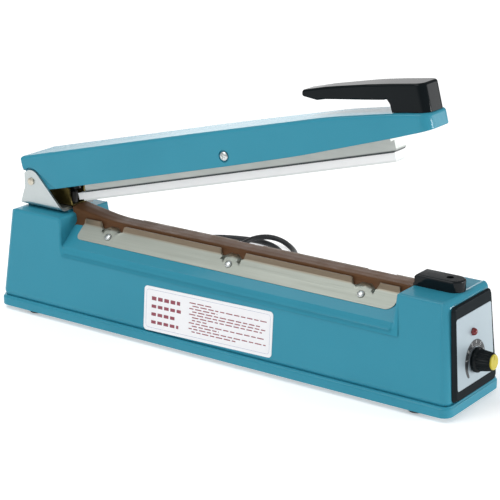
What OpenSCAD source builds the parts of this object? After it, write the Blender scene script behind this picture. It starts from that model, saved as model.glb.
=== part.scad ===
// Hand impulse sealer: a cast casing with a clamped heating bed, and a sprung arm hinged at one end.
// Positions are counted from the casing's hinge end (X), its middle plane (Y) and its bottom rim (Z).
// The arm and all that it carries are drawn closed, then raised about the hinge pin.

/* [Casing] */
// Length over the base flange
body_l = 430; // [424:1:436]
// Width over the base flange
body_w = 80; // [80:1:84]
// Height of the two end blocks above the bottom rim
body_h = 83; // [83:0.5:84]
// Height of the base flange
flange_h = 8.7; // [7:0.1:10]
// How far the flange stands out from the wall
flange_lip = 1.2; // [0.8:0.1:1.5]
// How far each long wall leans in over its height
side_lean = 7.8; // [7:0.1:8]
// How far each end wall leans in over its height
end_lean = 5.8; // [5:0.1:6]
// Thickness of the casting
wall = 3; // [2.5:0.1:3.2]
// Top length of the block that carries the hinge
hinge_block_l = 62; // [61:0.5:63]
// Top length of the block that carries the dial, from its place at the far end
dial_block_l = 50; // [49:0.5:51]
// Radius of the casing's upright corners
corner_r = 7; // [6:0.5:8]
// Height of the line where the long wall breaks into the slope
break_z = 56; // [55:0.5:57]

/* [Bed] */
// Half width of the raised bed
bed_half = 8.5; // [8.5:0.1:8.8]
// Height of the foot of the bed's riser, where the slope ends
riser_z = 77.2; // [77:0.1:77.4]
// Height of the casting under the bed board
ridge_z = 79.3; // [79.2:0.1:79.4]
// Thickness of the insulating board
board_t = 1.7; // [1.6:0.1:1.7]
// Width of the heating ribbon
ribbon_w = 2; // [2:0.5:2.5]
// Thickness of the slippery sheet over the ribbon
sheet_t = 0.4; // [0.3:0.05:0.4]
// Length of each clamp plate
plate_l = 300; // [298:1:302]

/* [Arm] */
// How far the arm stands open at rest, in degrees
open_angle = 14.94; // [10:0.02:15]
// Height of the hinge pin above the bottom rim
pin_z = 105.7; // [105.5:0.1:106]
// Distance of the hinge pin from the hinge end
pin_x = 23; // [22.5:0.5:23.5]
// Radius of the hinge pin
pin_r = 2.5; // [2:0.1:2.6]
// Width of the arm over its main part
arm_w = 42; // [41.8:0.1:42]
// Width of the arm's tip
arm_tip_w = 34; // [33:0.5:35]
// Underside of the press bar's rubber when the arm is closed
closed_z = 82; // [82:0.1:82.4]

/* [Controls] */
// Height of the timer knob on the end wall
knob_z = 33.7; // [33:0.1:35]
// Sideways place of the timer knob
knob_y = -0.5; // [-1:0.5:1]
// How far the knob's front stands out from the end wall
knob_reach = 18; // [17.5:0.5:20]
// Height of the lamp on the end wall
lamp_z = 55.3; // [54:0.1:56]
// Sideways place of the lamp
lamp_y = -2.3; // [-3:0.1:3]

/* [Feet] */
// Height of the rubber feet
foot_h = 3.5; // [3:0.1:5]
// Radius of the rubber feet
foot_r = 6.5; // [6:0.1:6.6]

/* [Mains lead] */
// Diameter of the mains lead
cord_d = 5; // [4.6:0.1:5]

/* [Hidden] */
$fn = 48;
eps = 0.01;

// Casing, worked out
wall_span = body_h - flange_h;
root_z = flange_h - 1;
side_tilt = atan(side_lean / wall_span);
end_tilt = atan(end_lean / wall_span);
slope_y = side_y(break_z);
slope = atan((riser_z - break_z) / (slope_y - bed_half));
dial_block_x = body_l - dial_block_l;
pedestal_z = body_h + 2;
boss_r = 6;
foot_x = 32;
foot_y = 29;
screw_r = 1.5;
plate_t = 1.5;

// Half width of the casing, and the places of its two end walls, at a height
function side_y(z) = body_w/2 - flange_lip - side_lean * (z - flange_h) / wall_span;
function low_end_x(z) = flange_lip + end_lean * (z - flange_h) / wall_span;
function high_end_x(z) = body_l - low_end_x(z);
// Height of the slope at a distance from the middle plane
function slope_z(y) = riser_z - (y - bed_half) * tan(slope);

// Bed, worked out
board_z = ridge_z + board_t;
ribbon_t = 0.25;
sheet_in_z = board_z + ribbon_t + 0.05;
sheet_top_z = sheet_in_z + sheet_t;
sheet_side_y = bed_half + 0.1;
sheet_edge_y = 21;
bed_x0 = hinge_block_l + 0.6;
bed_x1 = dial_block_x - 0.5;
sheet_x = [hinge_block_l + 2, dial_block_x - 1.4];
ribbon_x = [70, dial_block_x - 0.6];
plate_x = 72.5;
clamp_t = 1.2;
clamp_edge_y = 24.6;
clamp_fold_y = 10;
clamp_top_z = 80.6;
terminal_z = body_h + 2;
cover_top_z = 91.6;
cover_screw_x = 406;
cover_wire_x = 390;
plate_screw_x = [102.5, 222.5, 342.5];
plate_screw_y = 17.2;
tab_y = 15.5;
tab_r = 8.4;
tab_gap = 13;
plate_screw_r = 3;

// Hinge, worked out
pivot = [pin_x, 0, pin_z];
bracket_y = 20.5;
bracket_t = 2;
bracket_top_r = 9.5;
bracket_foot = [10.3, 55.3];
bracket_z = pedestal_z;
spring_bracket_y = 10;
spring_bracket_t = 1.5;
spring_bracket_z = bracket_z + bracket_t + eps;
spring_x = 36.5;
spring_r = 4.7;
spring_wire_r = 0.9;
spring_top_z = 126.4;
rod_x = 51;
rod_r = 3.5;
rod_top_z = 98.2;
rod_l = 28.7;
spring_seat_z = spring_bracket_z + spring_bracket_t;
collar_h = 2;
bracket_screw_x = [17, 26];
bracket_screw_r = 2;
pin_end_y = 22;

// Switch, whose lever is drawn pressed and raised by its rest angle
switch_x = [18, 46];
switch_z = [44.5, 60];
switch_half = 5;
switch_screw_x = [23, 41];
switch_screw_z = 50;
lever_pivot = [20, 0, 61.6];
lever_l = 34;
lever_t = 0.6;
lever_rest = 11.2;

// Arm, worked out
arm_x0 = 17.5;
arm_tip_x = 406.7;
arm_tip_r = 9;
tail_half = 18.2;
tail_x1 = 62;
bush_r = 4.5;
bolt_r = 2;
bolt_boss_r = 4;
striker_z = 92;
head_y = arm_w/2 - 1.2;
block_half = arm_w/2 - wall - 0.6;
arm_top = [[arm_x0, 127.5], [210, 124.8], [325, 122.3], [378, 117.9], [arm_tip_x, 114]];
arm_under = [[arm_tip_x, 102.3], [378, 100.6], [294, 97.1], [235, 96.7], [arm_x0, 96.7]];
side_screw = [227, 104.7];
bar_x = [68, 370.5];
bar_half = 7;
bar_z = 89;
strip_x = [58, 368];
strip_half = 6;
strip_relief = [4.8, 1.4];
handle_x = [377, 406];
handle_half = 12.8;
handle_r = 6.7;
handle_screw_x = [385, 397];
handle_screw_z = 108.5;

// Controls, worked out
face_z = 45;
knob_up = (knob_z - face_z) / cos(end_tilt);
lamp_up = (lamp_z - face_z) / cos(end_tilt);
panel_t = 2.4;
plate_sunk = 0.9;
lamp_stem_r = 2.4;
lens_r = 2.9;
shaft_r = 2.4;
pot_bush_r = 3.55;
pot_back = wall + 0.35;
cap_r = 5.7;
cap_t = 1.2;
knob_gap = 3.1;
overall_l = high_end_x(knob_z) + knob_reach * cos(end_tilt) + cap_r * sin(end_tilt);

// Mains lead: its route over the floor from the gland to the coil, then from the coil to the plug
gland_y = 37.2;
gland_r = 5.2;
gland_flange_r = 8;
gland_end_y = 68;
gland_z = 20 - foot_h;
cord_exit_x = overall_l/2 - 78.5;
cord_route = [[-78.5, 68, 20], [-78.5, 80, 19.5], [-78.5, 94, 16.5], [-78.5, 110, 10.5],
    [-78.5, 126, 5], [-78.5, 143, 2.5], [-78.5, 160, 2.5], [-79.5, 176, 2.5], [-82.5, 191, 2.5],
    [-88.5, 206, 2.5], [-97.5, 219, 3], [-109, 228, 4.5], [-122, 232, 7.2], [-134.5, 229, 9],
    [-144, 219.5, 8.2], [-148.5, 206, 5.2], [-150, 192, 2.6], [-155.5, 179, 2.5], [-167, 171.5, 2.5],
    [-181, 171.5, 2.5], [-192.5, 179.5, 2.5], [-197.5, 192.5, 2.5], [-195, 206.5, 2.5],
    [-186, 217, 2.5], [-173, 224, 2.5], [-159.5, 228.5, 2.5], [-146, 230.5, 2.5],
    [-133.5, 228.5, 2.5], [-122.5, 223.5, 2.5], [-112.5, 216.5, 2.5], [-104.5, 207, 2.5],
    [-99.5, 195, 2.5], [-97, 181, 2.5], [-96, 164, 2.5], [-96, 145, 2.5], [-96, 122, 2.5],
    [-96, 100, 2.5]];
plug_route = [[-126, 69.5, 7.5], [-137, 69.5, 7.5], [-148, 70, 7.2], [-159, 71, 7], [-170, 72, 7]];
coil_at = [-126, 100];
coil_r = [22.9, 33.1];
coil_h = 10.2;
plug_at = [-170, 72, 7];

// Frames ------------------------------------------------------------------

// Stand the object on its feet, with the origin under the middle of its length
module stand() translate([-overall_l/2, 0, foot_h]) children();
// Raise what rides on the arm from closed to its place at rest
module raise() translate(pivot) rotate([0, -open_angle, 0]) translate(-pivot) children();
// Draw a side view (x, z), from y0 to y1
module along_y(y0, y1) translate([0, max(y0, y1), 0]) rotate([90, 0, 0])
    linear_extrude(abs(y1 - y0)) children();
// Draw a cross-section (y, z), from x0 to x1
module along_x(x0, x1) translate([x0, 0, 0]) rotate([90, 0, 90]) linear_extrude(x1 - x0) children();
// A rod of radius r along Y from y0 to y1, centred on a point (x, z)
module rod_y(at, r, y0, y1) translate([at[0], max(y0, y1), at[1]]) rotate([90, 0, 0])
    cylinder(r = r, h = abs(y1 - y0));
// Work on the dial end wall: x goes across it, y up it and z out of it
module on_dial_wall(y, up) translate([high_end_x(face_z), 0, face_z])
    rotate([0, 90 - end_tilt, 0]) rotate([0, 0, 90]) translate([y, up, 0]) children();
// Work on the slope beside the bed, z out of it; side is -1 for the front and 1 for the back
module on_slope(x, y, side) translate([x, side * y, slope_z(y)]) rotate([-side * slope, 0, 0]) children();
module at_feet() for (x = [foot_x, body_l - foot_x], side = [-1, 1]) translate([x, side * foot_y, 0])
    children();

// Shapes ------------------------------------------------------------------

function unit(v) = v / norm(v);
function through(a, b, c, d, t) =
    0.5 * (2*b + (c - a)*t + (2*a - 5*b + 4*c - d)*t*t + (3*b - a - 3*c + d)*t*t*t);
function smooth(p, steps) = let (n = len(p) - 1) concat(
    [for (i = [0:n-1], k = [0:steps-1])
        through(p[max(i-1, 0)], p[i], p[i+1], p[min(i+2, n)], k/steps)],
    [p[n]]);
function ring(at, along, r, sides) = let (s = unit(cross(along, [0, 0, 1])), w = cross(s, along))
    [for (k = [0:sides-1]) at + r * (cos(360*k/sides) * s + sin(360*k/sides) * w)];

// A round tube along a list of points, none of whose steps is straight up
module tube(path, r, sides) {
    n = len(path) - 1;
    rings = [for (i = [0:n]) ring(path[i], unit(path[min(i+1, n)] - path[max(i-1, 0)]), r, sides)];
    skin = [for (i = [0:n-1], k = [0:sides-1]) let (a = i*sides + k, b = i*sides + (k+1) % sides)
        each [[a, b, b + sides], [a, b + sides, a + sides]]];
    start = [for (k = [sides-1:-1:0]) k];
    end = [for (k = [0:sides-1]) n*sides + k];
    polyhedron([for (q = rings) each q], concat([start, end], skin));
}

// A coil spring along Z from 0 to h, with a flat turn at each end
module coil_spring(r, wire_r, h, turns) {
    steps = 12;
    last = turns * steps;
    rise = h - 2*wire_r;
    tube([for (i = [0:last]) let (a = 360*i/steps, u = min(max((i - steps) / (last - 2*steps), 0), 1))
        [r*cos(a), r*sin(a), wire_r + rise*u]], wire_r, 6);
}

// A pan-head screw whose head sits on z = 0 and whose shank goes down
module pan_screw(head_r, head_h, r, l) {
    rotate_extrude() intersection() {
        translate([0, head_h - 2.2*head_r]) circle(r = 2.2*head_r);
        square([head_r, head_h]);
    }
    translate([0, 0, -l]) cylinder(r = r, h = l + eps);
}

// A flat plate with round corners, from x0 to x1
module rounded_plate(x0, x1, half, r, t) linear_extrude(t) {
    translate([x0 + r, -half]) square([x1 - x0 - 2*r, 2*half]);
    translate([x0, -half + r]) square([x1 - x0, 2*half - 2*r]);
    for (x = [x0 + r, x1 - r], side = [-1, 1]) translate([x, side * (half - r)]) circle(r = r);
}

// A block with upright round corners whose walls lean; lo and hi give [x0, x1, half width]
module leaning_block(lo, hi, z0, z1, r) hull()
    for (end = [[lo, z0], [hi, z1]], x = [end[0][0] + r, end[0][1] - r], side = [-1, 1])
        translate([x, side * (end[0][2] - r), end[1] - eps]) cylinder(r = r, h = eps, $fn = 32);

// A sheet bent up at both sides, in cross-section, from z0 to z1 with outer fold radius r
module bent_section(half, t, r, z0, z1) difference() {
    trough(half, r, z0, z1);
    translate([0, eps]) trough(half - t, r - t, z0 + t, z1);
}
module trough(half, r, z0, z1) {
    translate([-half, z0 + r]) square([2*half, z1 - z0 - r]);
    translate([r - half, z0]) square([2*(half - r), r + eps]);
    for (side = [-1, 1]) translate([side * (half - r), z0 + r]) circle(r = r);
}

// Casing ------------------------------------------------------------------

// The two end blocks, which start inside the flange, shrunk by t for their hollows
module hinge_block(t) leaning_block([low_end_x(root_z) + t, hinge_block_l + 8 - t, side_y(root_z) - t],
    [low_end_x(body_h) + t, hinge_block_l - t, side_y(body_h) - t], root_z - t, body_h - t, corner_r - t);
module dial_block(t) leaning_block([dial_block_x - 5 + t, high_end_x(root_z) - t, side_y(root_z) - t],
    [dial_block_x + t, high_end_x(body_h) - t, side_y(body_h) - t], root_z - t, body_h - t, corner_r - t);

// Cross-section of the long middle, shrunk by t
module middle_section(t) {
    drop = t / cos(slope);
    right = [[side_y(root_z) - t, root_z], [side_y(break_z) - t, break_z - drop + t],
        [bed_half - t, riser_z - drop + t*tan(slope)], [bed_half - t, ridge_z - t]];
    polygon(concat(right, [for (i = [3:-1:0]) [-right[i][0], right[i][1]]]));
}

module base_casing() color([0.26, 0.56, 0.66]) difference() {
    union() {
        difference() {
            union() {
                rounded_plate(0, body_l, body_w/2, corner_r + flange_lip, flange_h);
                hinge_block(0);
                dial_block(0);
                along_x(hinge_block_l - wall, dial_block_x + wall) middle_section(0);
                translate([12, -13, body_h - 1]) cube([44, 26, 1 + pedestal_z - body_h]);
            }
            hinge_block(wall);
            dial_block(wall);
            along_x(hinge_block_l - wall - 1, dial_block_x + wall + 1) middle_section(wall);
            translate([0, 0, -eps]) rounded_plate(low_end_x(flange_h) + wall, high_end_x(flange_h) - wall,
                side_y(flange_h) - wall, corner_r - wall + 1, flange_h);
        }
        at_feet() translate([0, 0, plate_t]) cylinder(r = boss_r, h = 24);
        translate([switch_x[0], switch_half + 0.6, switch_z[0]])
            cube([switch_x[1] - switch_x[0], wall, body_h - wall/2 - switch_z[0]]);
    }
    at_feet() translate([0, 0, -1]) cylinder(r = screw_r, h = 20);
    for (x = bracket_screw_x) translate([x, 0, body_h - wall - 1]) cylinder(r = bracket_screw_r, h = 10);
    translate([rod_x, 0, body_h - wall - 1]) cylinder(r = rod_r + 0.05, h = 10);
    translate([ribbon_x[0] - 1.5, -2.5, ridge_z - 10]) cube([3, 5, 12]);
    for (x = plate_screw_x, side = [-1, 1]) on_slope(x, plate_screw_y, side)
        translate([0, 0, -9]) cylinder(r = screw_r, h = 12);
    for (x = [cover_screw_x, cover_wire_x]) translate([x, 0, body_h - 9]) cylinder(r = screw_r, h = 12);
    on_dial_wall(knob_y, knob_up) translate([0, 0, -8]) cylinder(r = pot_bush_r, h = 12);
    on_dial_wall(lamp_y, lamp_up) translate([0, 0, -8]) cylinder(r = lamp_stem_r, h = 12);
    rod_y([cord_exit_x, gland_z], gland_r, gland_y - 12, gland_y + 12);
    rod_y([cord_exit_x, gland_z], gland_flange_r + 0.1, gland_y, gland_y + 12);
    for (x = switch_screw_x) rod_y([x, switch_screw_z], 1.2, switch_half, switch_half + wall + 1);
}

// The bottom plate closes the casing and carries four posts for the circuit board
module bottom_plate() color([0.45, 0.47, 0.48]) {
    difference() {
        rounded_plate(4.6, body_l - 4.6, 35.4, 5, plate_t);
        at_feet() translate([0, 0, -1]) cylinder(r = 1.7, h = 5);
        core_screw_holes();
        for (i = [0:5]) translate([292 + 7*i, -14, -1]) cube([3, 28, 5]);
    }
    for (x = [board_x[0] + 5, board_x[1] - 12], side = [-1, 1]) translate([x, side * 20, plate_t - eps])
        cylinder(r = 2.5, h = board_z0 - plate_t + eps);
}

module foot() color([0.08, 0.08, 0.08]) difference() {
    union() {
        translate([0, 0, -foot_h]) cylinder(r1 = foot_r - 0.8, r2 = foot_r, h = 1);
        translate([0, 0, 1 - foot_h]) cylinder(r = foot_r, h = foot_h - 1);
    }
    translate([0, 0, -foot_h - 1]) cylinder(r = 3.4, h = 2.2);
    translate([0, 0, -foot_h - 1]) cylinder(r = 1.7, h = foot_h + 2);
}
module foot_hinge_front() translate([foot_x, -foot_y, 0]) foot();
module foot_hinge_back() translate([foot_x, foot_y, 0]) foot();
module foot_dial_front() translate([body_l - foot_x, -foot_y, 0]) foot();
module foot_dial_back() translate([body_l - foot_x, foot_y, 0]) foot();

module foot_screws() color([0.8, 0.8, 0.78]) at_feet() translate([0, 0, 1.2 - foot_h]) rotate([180, 0, 0]) {
    difference() {
        cylinder(r = 3, h = 0.9);
        translate([0, 0, 0.7]) cube([1, 4, 0.7], center = true);
    }
    translate([0, 0, -16]) cylinder(r = screw_r, h = 16 + eps);
}

// Hinge -------------------------------------------------------------------

// Side view of the bracket's cheeks: a round top that runs tangent into the sloping foot
module cheek_outline(grow) {
    fall = unit([bracket_foot[1] - 40.8, -15]);
    out = atan2(fall[0], -fall[1]);
    r = bracket_top_r + grow;
    left = 15.8 - grow;
    from = acos((left - pin_x) / r);
    low = [bracket_foot[1], bracket_z + 1.1] + grow * [-fall[1], fall[0]];
    polygon(concat([[bracket_foot[0] - grow, bracket_z], [left, 100]],
        [for (i = [0:24]) let (a = from + (out - from) * i/24) [pin_x + r*cos(a), pin_z + r*sin(a)]],
        [low, [low[0] + (low[1] - bracket_z) * fall[0] / -fall[1], bracket_z]]));
}

module bracket_holes(z) {
    rod_y([pin_x, pin_z], pin_r, -25, 25);
    for (x = bracket_screw_x) translate([x, 0, z - 1]) cylinder(r = bracket_screw_r, h = 6);
    translate([rod_x, 0, z - 1]) cylinder(r = rod_r + 0.6, h = 6);
}

module hinge_bracket() color([0.86, 0.88, 0.87]) difference() {
    intersection() {
        along_x(5, 60) bent_section(bracket_y, bracket_t, 3.2, bracket_z, 120);
        along_y(-25, 25) cheek_outline(0);
    }
    bracket_holes(bracket_z);
}

// The inner bracket stands in the outer one and has a raised seat for the return spring
module spring_bracket() color([0.62, 0.55, 0.28]) {
    difference() {
        intersection() {
            along_x(5, 62) bent_section(spring_bracket_y, spring_bracket_t, 2.4, spring_bracket_z, 120);
            along_y(-12, 12) union() {
                translate([pin_x, pin_z]) circle(r = 8);
                polygon([[13, 80], [57.2, 80], [57.2, 89.2], [54.8, 97], [54.7, 102],
                    [pin_x + 3, pin_z + 7.4], [pin_x - 7, pin_z - 3.8]]);
            }
        }
        bracket_holes(spring_bracket_z);
    }
    translate([spring_x, 0, spring_seat_z - eps]) cylinder(r = spring_r - spring_wire_r - 0.3, h = 2.5);
}

module bracket_screws() color([0.75, 0.75, 0.72]) for (x = bracket_screw_x)
    translate([x, 0, spring_seat_z + eps]) pan_screw(3.6, 2.2, bracket_screw_r, 14);

module hinge_pin() color([0.8, 0.78, 0.7]) {
    rod_y([pin_x, pin_z], pin_r, -bracket_y - 0.6, pin_end_y);
    rod_y([pin_x, pin_z], 3.1, -bracket_y - 1.2, -bracket_y);
}

module pin_clip() color([0.5, 0.5, 0.5]) difference() {
    rod_y([pin_x, pin_z], 4.6, bracket_y, bracket_y + 0.8);
    rod_y([pin_x, pin_z], pin_r, bracket_y - 1, bracket_y + 2);
    translate([pin_x - 1.5, bracket_y - 1, pin_z - 6]) cube([3, 3, 6]);
}

module return_spring() color([0.55, 0.55, 0.55]) translate([spring_x, 0, spring_seat_z])
    coil_spring(spring_r, spring_wire_r, spring_top_z - spring_seat_z, 9);

// Bed ---------------------------------------------------------------------

module bed_board() color([0.78, 0.7, 0.5]) difference() {
    translate([bed_x0, -bed_half, ridge_z]) cube([bed_x1 - bed_x0, 2*bed_half, board_t]);
    translate([ribbon_x[0] - 1.5, -2.5, ridge_z - 1]) cube([3, 5, 4]);
}

// The ribbon comes up through a slot, runs along the board and steps up into the terminal
module heating_ribbon() color([0.72, 0.68, 0.62]) translate([0, -ribbon_w/2, 0]) {
    translate([ribbon_x[0], 0, 64]) cube([ribbon_t, ribbon_w, board_z - 64 + eps]);
    translate([ribbon_x[0], 0, board_z]) cube([ribbon_x[1] - ribbon_x[0], ribbon_w, ribbon_t]);
    translate([ribbon_x[1] - ribbon_t, 0, board_z])
        cube([ribbon_t, ribbon_w, terminal_z - board_z + ribbon_t]);
    translate([ribbon_x[1] - eps, 0, terminal_z]) cube([cover_wire_x + 4 - ribbon_x[1], ribbon_w, ribbon_t]);
}

// A sliding terminal, pushed along its rod by a spring, keeps the ribbon tight as it warms
module ribbon_tensioner() color([0.8, 0.66, 0.35]) {
    translate([ribbon_x[0] - 4, -3.5, 62]) cube([4, 7, 8]);
    translate([ribbon_x[0] - 13.8, 0, 66]) rotate([0, 90, 0]) cylinder(r = 1.4, h = 10);
    translate([ribbon_x[0] - 13.5, -4, 60]) cube([1.5, 8, body_h - wall - 60]);
}

module tension_spring() color([0.55, 0.55, 0.55]) translate([ribbon_x[0] - 12, 0, 66])
    rotate([0, 90, 0]) coil_spring(2.3, 0.4, 8, 7);

module terminal_outline() {
    translate([dial_block_x + 0.6, -bed_half]) square([29, 2*bed_half]);
    translate([dial_block_x + 29.5, 0]) circle(r = bed_half);
}
module terminal_base() color([0.14, 0.13, 0.12]) difference() {
    translate([0, 0, body_h]) linear_extrude(terminal_z - body_h) terminal_outline();
    for (x = [cover_screw_x, cover_wire_x]) translate([x, 0, body_h - 1]) cylinder(r = screw_r, h = 10);
}

module terminal_cover() color([0.12, 0.14, 0.15]) difference() {
    translate([0, 0, terminal_z]) linear_extrude(cover_top_z - terminal_z) terminal_outline();
    along_y(-20, 20) polygon([[dial_block_x - 1, 95], [dial_block_x - 1, 89], [dial_block_x + 3, 93]]);
    translate([dial_block_x, -ribbon_w/2, terminal_z - 1])
        cube([cover_wire_x + 4.2 - dial_block_x, ribbon_w, 1 + ribbon_t]);
    translate([cover_screw_x, 0, terminal_z + 2]) cylinder(r = 2.8, h = 10);
    translate([cover_screw_x, 0, terminal_z - 1]) cylinder(r = screw_r + 0.2, h = 10);
}

module cover_screw() color([0.3, 0.3, 0.3]) translate([cover_screw_x, 0, terminal_z + 2])
    pan_screw(2.6, 1.8, screw_r, 10);

// One side of the slippery sheet, at height t over the slope and at the height top over the bed
function sheet_line(t, top) = [[sheet_edge_y, slope_z(sheet_edge_y) + t/cos(slope)],
    [sheet_side_y + t, slope_z(sheet_side_y + t) + t/cos(slope)], [sheet_side_y + t, top]];
function mirrored(p) = [for (i = [len(p)-1:-1:0]) [-p[i][0], p[i][1]]];
module ptfe_sheet() color([0.5, 0.36, 0.27]) difference() {
    over = sheet_line(sheet_t, sheet_top_z);
    under = sheet_line(0, sheet_top_z - sheet_t);
    along_x(sheet_x[0], sheet_x[1])
        polygon(concat(over, mirrored(over), [for (q = under) [-q[0], q[1]]], [for (i = [2:-1:0]) under[i]]));
    for (side = [-1, 1]) plate_screw_holes(side);
}

// A clamp plate lies on the slope and turns up beside the bed, with a round tab at each screw
module clamp_plate(side) color([0.65, 0.67, 0.63]) {
    lift = sheet_t / cos(slope);
    over = (sheet_t + clamp_t) / cos(slope);
    fold = clamp_fold_y;
    difference() {
        along_x(plate_x, plate_x + plate_l) polygon([for (q = [[clamp_edge_y, slope_z(clamp_edge_y) + lift],
            [fold, slope_z(fold) + lift], [fold, clamp_top_z], [fold + 1, clamp_top_z],
            [fold + 1, slope_z(fold + 1) + over], [clamp_edge_y, slope_z(clamp_edge_y) + over]])
            [side * q[0], q[1]]]);
        for (x = plate_screw_x) translate([x - tab_gap, side * fold - 4, slope_z(fold + 1) + over])
            cube([2*tab_gap, 8, 8]);
        plate_screw_holes(side);
        for (end = [[plate_x, 3], [plate_x + plate_l, 7]]) rounded_corner(end[0], end[1], side);
    }
    difference() {
        for (x = plate_screw_x) on_slope(x, tab_y, side)
            translate([0, 0, sheet_t]) cylinder(r = tab_r, h = clamp_t);
        plate_screw_holes(side);
        translate([plate_x, -fold, 60]) cube([plate_l, 2*fold, 30]);
    }
}
module plate_screw_holes(side) for (x = plate_screw_x) on_slope(x, plate_screw_y, side)
    translate([0, 0, -1]) cylinder(r = screw_r + 0.2, h = 5);
// What lies outside a corner of radius r at the plate's low edge
module rounded_corner(x, r, side) {
    inward = x < body_l/2 ? 1 : -1;
    on_slope(x, clamp_edge_y, side) translate([0, 0, -2]) difference() {
        translate([inward * r/2 - inward, 0, 3]) cube([r + 2, 2*r, 6], center = true);
        translate([inward * r, -side * r, -4]) cylinder(r = r, h = 20);
        translate([inward * r/2 - inward, -side * 2*r, 3]) cube([2*r + 6, 2*r, 20], center = true);
    }
}
module clamp_plate_front() clamp_plate(-1);
module clamp_plate_back() clamp_plate(1);

module plate_screws() color([0.85, 0.85, 0.82]) for (x = plate_screw_x, side = [-1, 1])
    on_slope(x, plate_screw_y, side) translate([0, 0, sheet_t + clamp_t])
        pan_screw(plate_screw_r, 1.9, screw_r, 8);

// Dial end ----------------------------------------------------------------

// A four-sided slab with round corners from height h0 to h1 over the wall; top and low each give
// [half width, place up the wall]
module face_slab(top, low, r, h0, h1) translate([0, 0, h0]) linear_extrude(h1 - h0) offset(r = r, $fn = 32)
    polygon([[-top[0] + r, top[1] - r], [top[0] - r, top[1] - r], [low[0] - r, low[1] + r],
        [-low[0] + r, low[1] + r]]);
module panel_holes() {
    translate([knob_y, knob_up, -1]) cylinder(r = 6.6, h = 5);
    translate([lamp_y, lamp_up, -1]) cylinder(r = lamp_stem_r, h = 5);
}

// A broad foot with a narrower raised face, which is sunk for the plate
module panel_frame() color([0.2, 0.2, 0.21]) on_dial_wall(0, 0) difference() {
    union() {
        face_slab([29, 34.8], [32.8, -35.4], 4, 0, 1.2);
        face_slab([26.9, 34.2], [29.8, -34.8], 4, 1.2 - eps, panel_t);
    }
    face_slab([26, 25.6], [27.4, -28.1], 2, panel_t - plate_sunk, panel_t + 1);
    panel_holes();
}

module panel_plate() color([0.76, 0.81, 0.83]) on_dial_wall(0, 0) difference() {
    face_slab([25.9, 25.5], [27.3, -28], 1.9, panel_t - plate_sunk, lens_h);
    panel_holes();
}

lens_h = panel_t - plate_sunk + plate_t/2;
module lamp_lens() color([0.65, 0.06, 0.08]) on_dial_wall(lamp_y, lamp_up) {
    translate([0, 0, -5]) cylinder(r = lamp_stem_r, h = 5 + lens_h);
    translate([0, 0, lens_h]) cylinder(r = lens_r, h = 0.7);
    translate([0, 0, lens_h + 0.7 - eps]) intersection() {
        sphere(r = lens_r - 0.1);
        translate([-lens_r, -lens_r, 0]) cube(2 * lens_r);
    }
}

module lamp_body() color([0.9, 0.88, 0.8]) on_dial_wall(lamp_y, lamp_up) translate([0, 0, -14])
    cylinder(r = 3.4, h = 9);

module timer_pot() color([0.35, 0.45, 0.38]) on_dial_wall(knob_y, knob_up) difference() {
    union() {
        translate([0, 0, -pot_back - 10]) cylinder(r = 8, h = 10);
        translate([0, 0, -pot_back - eps]) cylinder(r = pot_bush_r, h = pot_back + 2.6);
    }
    translate([0, 0, -wall - 7]) cylinder(r = shaft_r + 0.05, h = 20);
}

module pot_nut() color([0.75, 0.75, 0.72]) on_dial_wall(knob_y, knob_up) difference() {
    cylinder(r = 5.8, h = 2.2, $fn = 6);
    translate([0, 0, -1]) cylinder(r = pot_bush_r, h = 5);
}

shaft_top = knob_reach - 6.5;
module timer_shaft() color([0.8, 0.8, 0.78]) on_dial_wall(knob_y, knob_up) translate([0, 0, -wall - 6])
    cylinder(r = shaft_r, h = wall + 6 + shaft_top);

module knob() color([0.09, 0.1, 0.11]) on_dial_wall(knob_y, knob_up) difference() {
    union() {
        translate([0, 0, knob_gap]) cylinder(r = 9.3, h = 3);
        translate([0, 0, knob_gap + 3 - eps])
            cylinder(r1 = 8, r2 = cap_r + 0.4, h = knob_reach - cap_t - knob_gap - 3 + eps);
    }
    translate([0, 0, knob_gap - 1]) cylinder(r = shaft_r, h = shaft_top - knob_gap + 1);
}

module knob_cap() color([0.92, 0.86, 0.16]) on_dial_wall(knob_y, knob_up)
    translate([0, 0, knob_reach - cap_t]) cylinder(r = cap_r, h = cap_t);

// Works inside the casing -------------------------------------------------

board_x = [343, 388];
board_z0 = 9;
board_top = board_z0 + 1.6;
module circuit_board() color([0.15, 0.4, 0.2]) translate([board_x[0], -25, board_z0])
    cube([board_x[1] - board_x[0], 50, board_top - board_z0]);

// Relay, film capacitor, regulator, two connectors and three round capacitors
module board_parts() color([0.2, 0.25, 0.4]) translate([board_x[0], 0, board_top]) {
    translate([5, -20, 0]) cube([19, 15.5, 15.5]);
    translate([6, 6, 0]) cube([18, 7, 13]);
    translate([28, 6, 0]) cube([8, 3, 10]);
    translate([0.5, -4, 0]) cube([4, 11, 9]);
    translate([39.5, -9, 0]) cube([5, 18, 7]);
    for (can = [[34, -15, 4.5, 12], [32, -2, 4, 11], [40, 16, 3.2, 9]])
        translate([can[0], can[1], 0]) cylinder(r = can[2], h = can[3]);
}

core_x = 236;
core_size = [57, 26, 47];
core_leg = core_size[0] / 6;
core_z = plate_t + 1.2;
core_screw_x = [core_x - 20, core_x + 20];
core_screw_y = core_size[1]/2 + 5;
coil_half = core_size[1]/2 + 8;

module core_screw_holes() for (x = core_screw_x, side = [-1, 1]) translate([x, side * core_screw_y, -1])
    cylinder(r = 1.8, h = 5);

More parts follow.
